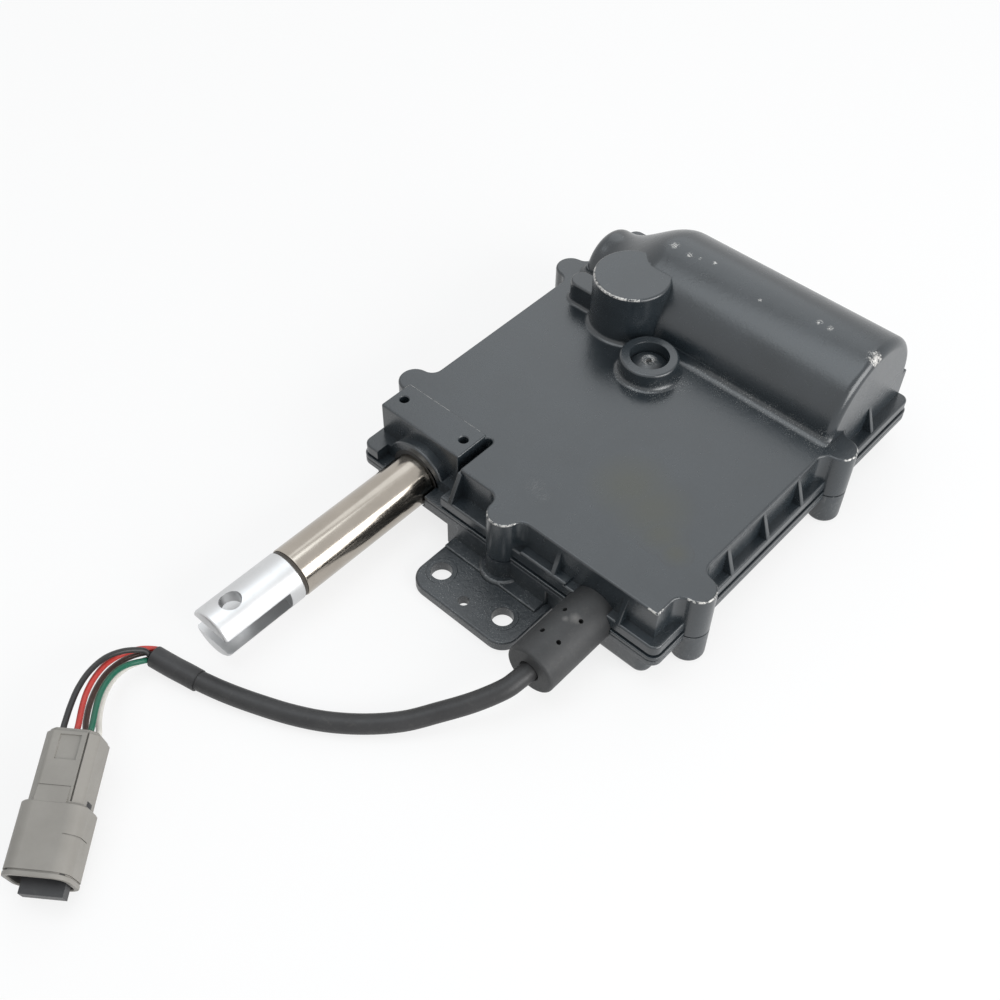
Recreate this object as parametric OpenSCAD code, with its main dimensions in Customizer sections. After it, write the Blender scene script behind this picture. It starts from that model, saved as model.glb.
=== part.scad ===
/* [Housing] */
// Width of the cover's top plate, across the rod
plate_w = 150; // [144:1:170]
// Length of the cover's top plate, along the rod
plate_l = 176; // [172:1:200]
// Height of the top plate above the mounting plane
plate_z = 40; // [39.5:0.1:42]
// Height of the plane where cover and tray meet, and of the rod's axis
split_z = 17.5; // [17.2:0.1:18.5]
// Distance from the mounting holes back to the plate's front edge
front_set = 20.8; // [19:0.2:26]
// Thickness of the cover's cast walls
wall = 3.5; // [3:0.1:4.2]
// Setback of the plate's front edge between the rod and the front lobe
brow_set = 2.8; // [1:0.1:4]

/* [Flange] */
// How far the flange stands out from the plate's edges
flange_out = 5; // [4:0.1:6.5]
// Corner radius of the flange
flange_r = 8; // [6:0.5:12]
// Height of the cover's flange above the parting plane
flange_up = 7.5; // [6:0.1:9]
// Depth of the tray's flange below the parting plane
flange_down = 3.5; // [2.5:0.1:5]
// Height of the lip at the foot of the cover's flange
lip_h = 1.6; // [1:0.1:2.2]
// Height of the groove above the lip
groove_h = 1; // [0.6:0.1:1.6]
// Depth of the groove above the lip
groove_d = 1.6; // [0.5:0.1:2]
// Thickness of the gasket under the cover's flange
gasket_t = 0.6; // [0.4:0.1:1]
// Setback of the gasket from the flange's edge
gasket_set = 0.8; // [0.4:0.1:1.2]
// Setback of the flange's upper band from the lip
band_set = 0.7; // [0.2:0.1:1.2]
// Thickness of the gusset ribs
rib_t = 1.6; // [1.2:0.1:2.4]
// Drop of the gusset ribs' tops below the plate
rib_drop = 2; // [1:0.5:5]

/* [Tray] */
// Height of the tray's underside above the mounting plane
tray_z = 0.8; // [0.4:0.1:1.4]
// Thickness of the tray's floor
floor_t = 2.4; // [2:0.1:2.6]
// Setback of the tray's walls from the flange's front and back edges
tray_set = 1.5; // [1:0.1:2.5]
// Setback of the tray's walls from the flange's side edges
tray_side_set = 5; // [3:0.1:6]
// Height of the tray's shallow rim above the mounting plane
rim_z = 8.5; // [7:0.1:9.5]
// Setback of the deep pan from the flange's front and side edges
pan_set = 9.5; // [8:0.1:10.5]
// Setback of the deep pan from the flange's back edge
pan_back_set = 2.5; // [2:0.1:3.5]
// Corner radius of the deep pan
pan_r = 8; // [6:0.5:10]
// Radius of the pan's bottom edges
tray_r = 4; // [3:0.25:4.5]

/* [Screw lobes] */
// Radius of the screw lobes
lobe_r = 7.2; // [6.5:0.1:8]
// Radius of the fillet between a lobe and the wall
lobe_fillet = 5; // [3:0.5:7]
// Distance of the side lobes' centres outside the plate's side edges
lobe_out = 3.6; // [2.5:0.1:4.5]
// Distance of the front and back lobes' centres outside the plate's edges
end_lobe_out = 1.8; // [1.2:0.1:3]
// Radius of the posts' bottom edges
post_edge = 2.2; // [1.5:0.1:2.4]
// Distance of the cable side's front lobe behind the plate's front edge
side_lobe_front = 20.7; // [16:0.1:26]
// Distance of the cable side's back lobe inside the dome's foot
side_lobe_back = 2.1; // [0:0.1:6]
// Distance of the rod side's back lobe in front of the hump's foot
rod_lobe_back = 0.9; // [0:0.1:6]
// Distance of the rod side's front lobe behind the bearing block
rod_lobe_front = 3.6; // [1:0.1:8]
// Radius of the cover screws' shanks
screw_r = 2.5; // [2:0.1:3]
// Radius of the cover screws' heads
screw_head_r = 4.2; // [3.8:0.1:4.8]
// Height of the cover screws' heads
screw_head_h = 4; // [3:0.25:5]
// Grip of the cover screws in the cover, above the parting plane
screw_grip = 12; // [8:0.5:16]

/* [Mounting ear] */
// Width of the mounting ear
ear_w = 51; // [46:1:60]
// Reach of the ear past its holes
ear_reach = 11.8; // [9:0.2:14]
// Thickness of the ear
ear_t = 5; // [4:0.25:7]
// Corner radius of the ear
ear_r = 8.5; // [5:0.5:9]
// Pitch of the two mounting holes
ear_pitch = 34; // [30:0.5:36]
// Radius of the mounting holes
ear_hole_r = 4.5; // [3.5:0.1:5]
// Radius of the raised ring round each mounting hole
ear_ring_r = 6.4; // [5.6:0.1:7.5]
// Height of that ring above the ear
ear_ring_h = 0.5; // [0.3:0.1:1]
// Radius of the locating hole
locate_r = 2.4; // [1.5:0.1:3]
// Distance of the locating hole in front of the mounting holes
locate_x = 4.8; // [3:0.1:6]
// Width of the ridge where the ear meets the tray
ear_ridge = 5.8; // [3:0.1:7]

/* [Rod] */
// Distance of the rod's axis from the cover's side edge
rod_side = 21.4; // [19:0.1:24]
// Radius of the rod tube
rod_r = 11.1; // [10.8:0.1:11.6]
// Wall of the rod tube
tube_wall = 2.5; // [2:0.1:3]
// Reach of the rod tube past the mounting holes, fully out
tube_reach = 48.4; // [40:0.1:60]
// Stroke of the rod
stroke = 50; // [40:1:52]
// Wall of the guide bush
bush_t = 2.4; // [2:0.1:2.6]
// Wall of the cast collar round the guide bush
collar_t = 3.4; // [3:0.1:4]
// Setback of the rod's mouth from the plate's front edge
mouth_set = 2; // [1:0.1:4]
// Clearance round the rod where it leaves through the flange
mouth_gap = 0.8; // [0.5:0.1:1.5]
// Thickness of the wiper ring at the rod's mouth
wiper_l = 2.5; // [1.5:0.25:4]
// Depth of the wiper's seat round the rod
wiper_t = 2; // [1.5:0.1:2.3]

/* [Clevis] */
// Length of the clevis past the tube
clevis_l = 39; // [34:0.5:46]
// Radius of the clevis
clevis_r = 11; // [10.5:0.1:11.5]
// Width of the dark ring between tube and clevis
ring_w = 1.4; // [1:0.1:2]
// Depth of that ring below the rod's surface
ring_d = 0.4; // [0.2:0.1:0.8]
// Height of the clevis slot
slot_h = 8.4; // [6:0.1:10]
// Length of the clevis slot
slot_l = 31.8; // [26:0.2:34]
// Radius of the clevis pin hole
pin_r = 4.2; // [3.5:0.1:5]
// Distance of the pin hole from the clevis tip
pin_set = 11.4; // [9:0.1:16]
// Chamfer at the clevis tip
tip_chamfer = 1; // [0.4:0.1:2]
// Length of the clevis spigot inside the tube
spigot_l = 16; // [10:0.5:24]

/* [Bearing block] */
// Width of the raised block above the rod
block_w = 45; // [40:0.1:46]
// Distance of the block outside the plate's side edge
block_out = 3; // [2:0.1:4.2]
// Length of the block along the rod
block_l = 17.4; // [14:0.1:20]
// Setback of the block's front from the plate's front edge
block_set = 6.5; // [4:0.1:9]
// Height of the block above the plate
block_h = 0.8; // [0.4:0.1:2]
// Width of the notch beside the block
notch_w = 4.3; // [3.5:0.1:6]
// Radius of the block's two blind holes
block_hole_r = 2; // [1.5:0.1:2.5]
// Distance of the blind holes from the block's ends
block_hole_set = 5.2; // [4:0.1:7]
// Distance of the blind holes from the block's back
block_hole_back = 8.6; // [5:0.1:12]
// Depth of the blind holes
block_hole_d = 6; // [4:0.5:8]

/* [Bosses] */
// Height of the tall boss above the plate
tall_h = 26; // [25:0.5:32]
// Radius of the fillets at the feet of the bosses
boss_fillet = 2.5; // [1.5:0.25:3]
// Radius of the rounded edges on the bosses
boss_edge = 1.2; // [0.6:0.1:2]
// Radius of the small half-round boss beside the tall one
key_r = 5.5; // [4.5:0.1:6]
// Distance of the small boss from the tall boss's axis
key_set = 25; // [23:0.1:26]
// Height of the small boss above the plate
key_h = 11; // [8:0.5:14]
// Outer radius of the counterbored boss
cup_r = 13; // [12:0.1:15]
// Height of the counterbored boss above the plate
cup_h = 8.5; // [7:0.25:11]
// Radius of its counterbore
cup_bore_r = 8.5; // [7.5:0.1:9.5]
// Depth of its counterbore
cup_bore_d = 6; // [4:0.25:7]
// Distance of the counterbored boss in front of the tall boss
cup_dx = 20; // [18:0.5:24]
// Distance of the counterbored boss beside the tall boss
cup_dy = 27; // [25:0.5:32]
// Radius of the pillar under the counterbored boss
pillar_r = 7; // [6:0.25:8]
// Radius of the head of the screw in the counterbored boss
boss_head_r = 6.5; // [5.5:0.1:7.2]
// Height of the head of the screw in the counterbored boss
boss_head_h = 3.6; // [2.5:0.1:4]

/* [Motor] */
// Radius of the motor can
motor_r = 26.5; // [24:0.1:27]
// Length of the motor can
motor_l = 80; // [70:0.5:82]
// Wall of the motor can
can_wall = 1.8; // [1.4:0.1:2.2]
// Thickness of the motor's end cap and front bracket
motor_cap_t = 5; // [4:0.25:6]
// Gap between the motor and the cover's dome
motor_gap = 1.3; // [0.8:0.1:2]
// Gap between the motor's ends and the dome's end wall
motor_end_gap = 0.6; // [0.4:0.1:1]
// How far the dome stands past the back edge of the plate
dome_over = 3.3; // [2.5:0.1:4]
// Setback of the dome's flat end from the plate's side edge
dome_set = 1; // [0.5:0.1:2]
// Edge radius at the dome's flat end
dome_edge = 4; // [2:0.25:6]
// Edge radius at the dome's inner end
dome_nose = 8; // [6:0.5:9]
// Distance of the dome's inner end from the rod's axis
dome_rod = 13.6; // [12.5:0.1:16]
// Thickness of the motor magnets
magnet_t = 5; // [4:0.25:6]
// Air gap between magnets and armature
air_gap = 0.8; // [0.5:0.1:1.2]
// Length of the armature core
core_l = 42; // [30:0.5:46]
// Radius of the motor shaft
shaft_r = 4; // [3.5:0.1:4.5]
// Radius of the commutator
commutator_r = 9; // [8:0.25:11]
// Length of the commutator
commutator_l = 14; // [10:0.5:16]
// Width of each brush
brush_w = 6; // [4:0.25:8]
// Length of the motor's nose, on the front bracket
nose_l = 7; // [5:0.5:8]
// Outer radius of the shaft bushes
shaft_bush_r = 7; // [6.5:0.1:8]
// Radius of the worm hump on the cover
hump_r = 15; // [14.7:0.1:18]
// Thickness of the hump's wall
hump_wall = 2.4; // [1.8:0.1:2.5]
// Setback of the hump's outer end from the plate's side edge
hump_set = 3.2; // [2:0.1:4]
// Edge radius at the hump's outer end
hump_edge = 5; // [3:0.25:6]

/* [Worm drive] */
// Module of the worm drive's teeth
drive_module = 1.3; // [1.2:0.05:1.35]
// Number of teeth on the worm wheel
wheel_teeth = 18; // [17:1:18]
// Face width of the worm wheel
wheel_w = 10; // [8:0.25:11]
// Length of the drive worm
worm_l = 20; // [16:0.5:24]
// Backlash between worm and wheel teeth, along the pitch line
backlash = 0.5; // [0.4:0.05:0.7]
// Tip and root clearance of the teeth
tooth_clear = 0.4; // [0.3:0.05:0.5]

/* [Feedback drive] */
// Module of the feedback drive's teeth
feedback_module = 1.5; // [1.4:0.05:1.5]
// Number of teeth on the feedback gear
feedback_teeth = 14; // [13:1:14]
// Pitch radius of the feedback worm
feedback_worm_r = 7.4; // [7.3:0.05:8]
// Length of the feedback worm
feedback_worm_l = 12; // [10:0.5:13]
// Thickness of the feedback gear
feedback_gear_t = 6; // [5:0.25:7]
// Distance of the feedback gear's axis in front of the motor's axis
feedback_dx = 27; // [26.8:0.1:29]
// Radius of the potentiometer's body
pot_r = 12.5; // [11:0.1:13]
// Height of the potentiometer's body
pot_h = 22; // [18:0.5:24]
// Radius of the potentiometer's shaft
pot_shaft_r = 3; // [2.5:0.1:3.2]

/* [Lead screw] */
// Radius of the lead screw
lead_r = 5; // [4.6:0.1:5.2]
// Radius of the lead screw's shoulder, under the worm wheel
shoulder_r = 6; // [5.6:0.1:6.2]
// Radius of the lead screw's rear journal
journal_r = 4; // [3.5:0.1:4.4]
// Outer radius of the front bearing
front_bearing_r = 12; // [11:0.1:12.2]
// Width of the front bearing
front_bearing_w = 6; // [5:0.25:6.25]
// Outer radius of the rear bearing
rear_bearing_r = 11; // [10:0.1:12]
// Width of the rear bearing
rear_bearing_w = 7; // [6:0.25:7.5]
// Wall of the seats round the bearings
seat_wall = 2; // [1.8:0.1:2.4]
// Gap between the worm wheel and the front bearing
wheel_gap = 2.3; // [2:0.1:2.5]
// Length of the drive nut
nut_l = 24; // [18:0.5:28]

/* [Cable exit] */
// Distance of the cable exit from the middle of the housing
cable_y = 46.8; // [42:0.1:50]
// Radius of the cable grommet
grommet_r = 11.1; // [9:0.1:11.5]
// Reach of the grommet past the mounting holes
grommet_reach = 18.4; // [15:0.1:20]
// Edge radius at the grommet's end
grommet_edge = 3; // [2:0.25:5]
// Radius of the small holes in the grommet
dimple_r = 1; // [0.6:0.1:1.4]
// Depth of the small holes in the grommet
dimple_d = 3; // [1:0.5:4]
// Radius of the cable
cable_r = 4; // [3.5:0.1:4.2]
// Radius of each wire
wire_r = 1.15; // [0.9:0.05:1.2]

/* [Connector] */
// Length of the connector's rear body
conn_rear_l = 26.5; // [24:0.5:30]
// Width of the connector's rear body
conn_rear_w = 19.5; // [18:0.25:22]
// Height of the connector's rear body
conn_rear_h = 18.6; // [17:0.2:20]
// Length of the connector's front shell
conn_front_l = 25.5; // [23:0.5:29]
// Width of the connector's front shell
conn_front_w = 23.75; // [23:0.25:27]
// Height of the connector's front shell
conn_front_h = 20.5; // [19.5:0.25:23]
// Wall of the connector's front shell
conn_wall = 1.8; // [1.4:0.1:2]
// Corner chamfer of the connector's rear body
conn_chamfer = 3.2; // [2:0.1:4]
// Height of the contact rows from the connector's axis
pin_row = 4.2; // [3.8:0.1:4.5]
// Pitch of the contacts along a row
pin_pitch = 5; // [4:0.1:5.5]
// Radius of the contacts
contact_r = 0.8; // [0.6:0.05:1]

/* [Fits] */
// Radial running clearance of shafts, the rod and the screw
run_gap = 0.05; // [0.02:0.01:0.08]
// Clearance of seated and screwed pieces
seat_gap = 0.1; // [0.05:0.01:0.2]

/* [Hidden] */
$fn = 48;
// A small overlap that makes cuts run clean through
eps = 0.5;

// Planes of the housing
front_x = -front_set;
back_x = front_x - plate_l;
side_y = plate_w / 2;
inner_front = front_x - brow_set - wall;
flange_front = front_x + flange_out;
flange_back = back_x - flange_out;
ledge_z = split_z + flange_up;
hollow_h = plate_z - wall - split_z + eps;
floor_z = tray_z + floor_t;

// The rod's axis, and what turns round it
rod_y = rod_side - side_y;
collar_r = rod_r + bush_t + collar_t;
block_front = front_x - block_set;
block_back = block_front - block_l;
block_left = -side_y - block_out;
block_right = block_left + block_w;
mouth_x = front_x - mouth_set;
bush_front = mouth_x - wiper_l;
clevis_x = tube_reach + ring_w;
tip_x = clevis_x + clevis_l;
bore_r = rod_r - tube_wall;

// The motor's axis, and the cover's dome over it
dome_r = motor_r + motor_gap + wall;
motor_x = back_x + dome_r - dome_over;
dome_right = side_y - dome_set;
dome_left = rod_y + dome_rod;
hump_end = hump_set - side_y;
motor_rear = dome_right - wall - motor_end_gap;
motor_front = motor_rear - motor_l - 2 * motor_cap_t;

// The worm drive
wheel_r = drive_module * wheel_teeth / 2;
wheel_tip = wheel_r + drive_module - tooth_clear / 2;
worm_r = plate_z - split_z - wheel_r;
worm_tip = worm_r + drive_module - tooth_clear / 2;
worm_room_gap = 0.6;
end_bush_l = rod_y - worm_l / 2 - 2 * worm_room_gap - hump_end - hump_wall;
drive_pitch = PI * drive_module;
worm_lead_angle = atan(drive_pitch / (2 * PI * worm_r));

// The feedback drive
feedback_r = feedback_module * feedback_teeth / 2;
feedback_pitch = PI * feedback_module;
pot_y = rod_y + feedback_worm_r + feedback_r;
// The potentiometer stands beside the motor's front, or ahead of the motor where that reaches too near
pot_room = 1;
pot_beside = pot_y + pot_r + pot_room <= motor_front;
pot_x = motor_x + (pot_beside ? feedback_dx : motor_r + pot_r + pot_room);
tall_extra = 1.4;
key_dx = 2.8;
key_web = 7.7;
pot_shaft_in = 15.4;
feedback_lead_angle = atan(feedback_pitch / (2 * PI * feedback_worm_r));
tall_r = pot_r + seat_gap + wall + tall_extra;
pot_top = plate_z + tall_h - wall - seat_gap;
cup_x = pot_x + cup_dx;
cup_y = pot_y + cup_dy;

// The tray
tray_top = split_z - gasket_t;
pan_front = flange_front - pan_set;
pan_back = flange_back + pan_back_set;
pan_side = side_y + flange_out - pan_set;
web_side = 3.5;
web_left = -ear_w / 2 - web_side;
web_front = flange_front - tray_set;
screw_sink = 0.4;
screw_end_gap = 1;
// Share of a screw head's radius and height that its socket takes
socket_wide = 0.55;
socket_deep = 0.6;
ridge_h = 1.2;
collar_out = 3.2;
collar_up = 1.8;
cradle_gap = 0.3;
cradle_w = 6;
cradle_l = 24;
seat_shoulder = 1.2;
seat_w = front_bearing_w + 2 * seat_shoulder;
pot_gear_z = split_z - feedback_gear_t / 2;

// The terminal board, between the cable and the motor
board_l = 34;
board_w = 30;
board_t = 1.6;
board_edge = 4;
board_post_r = 2.5;
board_rise = 3;
board_z = floor_z + board_rise;
board_front_gap = 16;
board_side_gap = 8;
board_x = front_x - wall - board_front_gap - board_l / 2;
board_y = side_y - wall - board_side_gap - board_w / 2;

// The lead screw's pieces, from the back
wheel_front = motor_x + wheel_w / 2;
front_bearing_x = wheel_front + wheel_gap;
shoulder_front = front_bearing_x + front_bearing_w;
rear_bearing_x = back_x + wall + seat_gap;
shoulder_back = rear_bearing_x + rear_bearing_w;
tube_gap = 4;
lead_over = 6;
tube_back = pot_x + feedback_r + feedback_module + tube_gap + stroke;
lead_front = tube_back + nut_l + lead_over;

// The six screw lobes: place, the direction that each one faces, and its stand-out from the wall on each side
lobe_places = [
  [front_x + end_lobe_out, 0, 0, [end_lobe_out + brow_set, end_lobe_out]],
  [front_x - side_lobe_front, side_y + lobe_out, 90, [lobe_out, lobe_out]],
  [motor_x + dome_r - side_lobe_back, side_y + lobe_out, 90, [lobe_out, lobe_out]],
  [motor_x + hump_r + rod_lobe_back, -side_y - lobe_out, -90, [lobe_out, lobe_out]],
  [block_back - rod_lobe_front, -side_y - lobe_out, -90, [lobe_out, lobe_out]],
  [back_x - end_lobe_out, 0, 180, [end_lobe_out - dome_over, end_lobe_out - dome_over]]
];
// Gusset ribs along the cable's side and the front
rib_first = 45.2;
rib_pitch = 24.5;
rib_dome = 2.2;
rib_ear = 2;
rib_cable = 2.6;
side_ribs = [for (k = [0 : 2]) front_x - rib_first - k * rib_pitch, motor_x - rib_dome];
front_ribs = [block_right + notch_w + rib_t / 2, ear_w / 2 + rib_ear, cable_y + grommet_r + rib_cable];

// The motor's pieces
cap_skin = 1;
can_front = motor_front + motor_cap_t;
core_set = 6;
core_front = can_front + core_set;
brush_end_gap = 2;
magnet_split = 10;
armature_slots = 12;
slot_depth = 5;
slot_width = 3;

// Teeth
pressure_angle = 20;
worm_points = 16;
worm_slices = 12;
gear_slices = 4;

// The grommet's length inside the front wall, and its small holes
grommet_in = 2;
grommet_back = inner_front - grommet_in;
grommet_l = grommet_reach - grommet_back;
dimple_set = 6.5;
dimple_turn = 21.5;

// The connector's pieces
conn_l = conn_rear_l + conn_front_l;
conn_skin = 1.2;
conn_round = 6;
conn_seal_l = 4;
seal_w = 2 * pin_pitch + 4;
seal_h = 2 * pin_row + 4;
rim_l = 1.6;
rim_groove = 0.6;
wedge_root = 3;
wedge_w = 15.5;
wedge_shift = 2;
wedge_h = 2 * (pin_row - contact_r) - 1.6;
wedge_out = 4.5;
pin_tip_set = 10;

// Route of the cable, from inside the housing to its free end
cable_route = [
  [-40, cable_y, split_z], [0, cable_y, split_z], [grommet_reach, cable_y, split_z], [30, 44.5, 15.5],
  [40, 38.5, 12], [50.5, 30.5, 8.5], [61, 22.5, 6], [71, 12.5, 4.8], [80, 1, 4.4], [87, -11, 4.4],
  [93, -24.5, 4.4], [98, -37.5, 4.6], [102, -50.5, 5], [104.5, -60, 5.6], [106.5, -68.5, 6.4]
];
// Middle line of the loose wires, between the cable's end and the connector
wire_middle = [
  [110.5, -72, 8], [117, -73.5, 10], [124, -72.5, 12.2], [131, -69, 14.6], [137.5, -64, 17], [143, -58.5, 19]
];
// Middle of the connector's rear face in plan, the direction that it points, and its nose's dip to the table
conn_plan = [149.5, -52];
conn_turn = 37;
conn_pitch = 11;
conn_height = conn_l * sin(conn_pitch) + conn_front_h / 2 * cos(conn_pitch);
// Each wire's angle round the cable's end, its contact's place along the row and row, and its rise
wire_plan = [[60, -1, 1, 2.8], [140, 0, 1, 0], [200, 0, -1, 0], [-5, 1, 1, 0], [265, 1, -1, 0]];
wire_ring = 2.65;
wire_start = 1.5;
wire_lead = 3;
// Places of the six contacts: along the row, and row
contact_plan = [for (row = [-1, 1], side = [-1, 0, 1]) [side, row]];

function unit(v) = v / norm(v);
function mixed(a, b, t) = a * (1 - t) + b * t;
// Direction of a route at point i
function heading(route, i) =
  unit(route[min(i + 1, len(route) - 1)] - route[max(i - 1, 0)]);
// Level direction to the left of a heading
function leftward(d) = unit([-d[1], d[0], 0]);
cable_end = cable_route[len(cable_route) - 1];
cable_dir = unit(cable_end - cable_route[len(cable_route) - 2]);
conn_dir = [cos(conn_pitch) * cos(conn_turn), cos(conn_pitch) * sin(conn_turn), -sin(conn_pitch)];
conn_rear = [conn_plan[0], conn_plan[1], conn_height];
wire_line = concat(
  [cable_end, cable_end + cable_dir * wire_start], wire_middle,
  [conn_rear - conn_dir * wire_lead, conn_rear]
);
// A wire's own route: the middle line, with its place spreading from the cable's end to its contact
function wire_route(plan) = [
  for (i = [0 : len(wire_line) - 1])
    let (last = len(wire_line) - 1)
    let (t = i <= 1 ? 0 : i >= last - 1 ? 1 : (i - 1) / (last - 2))
    let (d = i <= 1 ? cable_dir : i >= last - 1 ? conn_dir : heading(wire_line, i))
    let (side = mixed(wire_ring * cos(plan[0]), pin_pitch * plan[1], t))
    let (rise = mixed(wire_ring * sin(plan[0]), pin_row * plan[2], t) + plan[3] * sin(180 * t))
    let (n = leftward(d))
    wire_line[i] + n * side + cross(d, n) * rise
];

// A round tube along a route, square to it at each point
module swept(route, r, sides, first = undef, last = undef) {
  count = len(route);
  points = [
    for (i = [0 : count - 1])
      let (d = i == 0 && first != undef ? first : i == count - 1 && last != undef ? last : heading(route, i))
      let (n = leftward(d))
      let (u = cross(d, n))
      for (k = [0 : sides - 1])
        route[i] + r * (cos(360 * k / sides) * n + sin(360 * k / sides) * u)
  ];
  sides_of = [
    for (i = [0 : count - 2])
      for (k = [0 : sides - 1])
        let (k2 = (k + 1) % sides)
        for (corner = [[(i + 1) * sides + k, (i + 1) * sides + k2], [(i + 1) * sides + k2, i * sides + k2]])
          [i * sides + k, corner[0], corner[1]]
  ];
  start_cap = [for (k = [0 : sides - 1]) k];
  end_cap = [for (k = [sides - 1 : -1 : 0]) (count - 1) * sides + k];
  polyhedron(points, concat([start_cap], sides_of, [end_cap]), convexity = 6);
}

// A rectangle with rounded corners, from its lower left corner
module round_rect(size, r) {
  translate([r, 0]) square([size[0] - 2 * r, size[1]]);
  translate([0, r]) square([size[0], size[1] - 2 * r]);
  for (x = [r, size[0] - r], y = [r, size[1] - r])
    translate([x, y]) circle(r);
}

// Turns a shape so that its Z axis lies along X, or along Y
module along_x(x = 0, y = 0, z = 0) {
  translate([x, y, z]) rotate([0, 90, 0]) children();
}
module along_y(x = 0, y = 0, z = 0) {
  translate([x, y, z]) rotate([-90, 0, 0]) children();
}

// A ring or washer about the Z axis
module ring(outer, inner, h) {
  difference() {
    cylinder(r = outer, h = h);
    translate([0, 0, -eps]) cylinder(r = inner, h = h + 2 * eps);
  }
}

// The flange's outline in plan, moved in by a setback
module flange_2d(set = 0) {
  translate([flange_back + set, -side_y - flange_out + set])
    round_rect([plate_l + 2 * (flange_out - set), plate_w + 2 * (flange_out - set)], flange_r - set);
}

// A screw lobe in plan at the origin, facing +X, with fillets into the wall behind it on its right and left
module lobe_2d(depths) {
  circle(lobe_r);
  for (side = [-1, 1]) {
    depth = depths[side < 0 ? 0 : 1];
    fillet_y = sqrt(pow(lobe_r + lobe_fillet, 2) - pow(lobe_fillet - depth, 2));
    difference() {
      polygon([
        [-depth - eps, 0], [-depth - eps, side * fillet_y],
        [lobe_fillet - depth, side * fillet_y], [0, 0]
      ]);
      translate([lobe_fillet - depth, side * fillet_y]) circle(lobe_fillet);
    }
  }
}

// The cover's walls in plan, without the lobes
module cover_2d() {
  difference() {
    translate([back_x, -side_y]) square([plate_l, plate_w]);
    translate([block_front, -side_y - eps]) square([block_set + eps, block_right + side_y + eps]);
    translate([block_back + notch_w / 2, block_right - eps]) square([plate_l, notch_w + eps]);
    translate([block_back + notch_w / 2, block_right + notch_w / 2]) circle(notch_w / 2);
    translate([front_x - brow_set, block_right]) square([brow_set + eps, -block_right]);
  }
  translate([block_back, block_left]) square([block_l, block_w]);
}

// All the lobes in plan
module lobes_2d() {
  for (p = lobe_places)
    translate([p[0], p[1]])
      rotate(p[2])
        lobe_2d(p[3]);
}

// A turned body's half section: a bar of radius r from z = 0 to h, with a rounded top edge
module bar_half(r, h, edge) {
  square([r - edge, h]);
  square([r, h - edge]);
  translate([r - edge, h - edge]) circle(edge);
}

// A boss that stands on the plate, with a rounded top edge and a fillet at its foot
module boss(r, h, edge, fillet) {
  rotate_extrude() {
    intersection() {
      bar_half(r, h, edge);
      square([r, h]);
    }
    difference() {
      square([r + fillet, fillet]);
      translate([r + fillet, fillet]) circle(fillet);
    }
    translate([0, -wall]) square([r, wall + eps]);
  }
}

// The dome and the worm hump, turned as one about the motor's axis, from the dome's flat end
module dome_form(shrink, hump_shrink) {
  straight = dome_right - dome_left - 2 * shrink;
  full = dome_right - hump_end - shrink - hump_shrink;
  big = dome_r - shrink;
  edge = max(dome_edge - shrink, eps);
  nose = max(dome_nose - shrink, eps);
  small = hump_r - hump_shrink;
  step = min(lobe_fillet, (big - small) / 2);
  along_y(motor_x, dome_right - shrink, plate_z)
    mirror([0, 0, 1])
      rotate_extrude() {
        intersection() {
          union() {
            translate([0, edge]) square([big, straight - edge - nose]);
            square([big - edge, straight]);
            translate([big - edge, edge]) circle(edge);
            square([big - nose, straight]);
            translate([big - nose, straight - nose]) circle(nose);
          }
          square([big, straight]);
        }
        intersection() {
          bar_half(small, full, hump_edge - hump_shrink / 2);
          square([small, full]);
        }
        difference() {
          translate([small - eps, straight - eps]) square([step + eps, step + eps]);
          translate([small + step, straight + step]) circle(step);
        }
      }
}

// The half space over the plate's top
module over_plate() {
  translate([back_x - dome_r, -2 * side_y, plate_z]) cube([plate_l + dome_r, 4 * side_y, 2 * dome_r]);
}

// One triangular gusset rib at the origin, from a wall at X = 0 out to a reach
module gusset(reach) {
  rise = plate_z - rib_drop - ledge_z;
  translate([-eps, rib_t / 2, ledge_z - eps])
    rotate([90, 0, 0])
      linear_extrude(rib_t)
        polygon([[0, 0], [reach + eps, 0], [reach + eps, eps], [2 * eps, rise + eps], [0, rise + eps]]);
}

// The gusset ribs between the walls and the ledge
module gussets() {
  reach = flange_out - band_set - eps;
  for (x = side_ribs)
    translate([x, side_y, 0]) rotate(90) gusset(reach);
  for (y = front_ribs) {
    set = y < 0 ? brow_set : 0;
    translate([front_x - set, y, 0]) gusset(reach + set);
  }
}

// A block round one bearing of the lead screw, from z0 up to z1
module bearing_seat(x, w, r, z0, z1) {
  translate([x, rod_y - r - seat_wall, z0])
    cube([w, 2 * (r + seat_wall), z1 - z0]);
}

// Everything that is cut round the rod and the lead screw, in cover and tray alike
module rod_cuts() {
  along_x(block_back - wall, rod_y, split_z)
    cylinder(r = rod_r + bush_t + seat_gap, h = bush_front - block_back + wall);
  along_x(bush_front - eps, rod_y, split_z)
    cylinder(r = rod_r + wiper_t + seat_gap, h = wiper_l + eps);
  along_x(mouth_x - eps, rod_y, split_z)
    cylinder(r = rod_r + mouth_gap, h = flange_front - mouth_x + 2 * eps);
  along_x(front_bearing_x, rod_y, split_z)
    cylinder(r = front_bearing_r + seat_gap, h = front_bearing_w);
  along_x(front_bearing_x - seat_shoulder - eps, rod_y, split_z)
    cylinder(r = front_bearing_r - seat_wall, h = seat_w + 2 * eps);
  along_x(rear_bearing_x - seat_gap, rod_y, split_z)
    cylinder(r = rear_bearing_r + seat_gap, h = rear_bearing_w + eps);
}

// The hole in the front wall for the cable grommet
module grommet_cut() {
  along_x(grommet_back, cable_y, split_z)
    cylinder(r = grommet_r + seat_gap, h = flange_front - grommet_back + eps);
}

// Room round the drive worm
module worm_room() {
  along_y(motor_x, rod_y - worm_l / 2 - worm_room_gap, plate_z)
    cylinder(r = worm_tip + worm_room_gap, h = worm_l + 2 * worm_room_gap);
}

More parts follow.
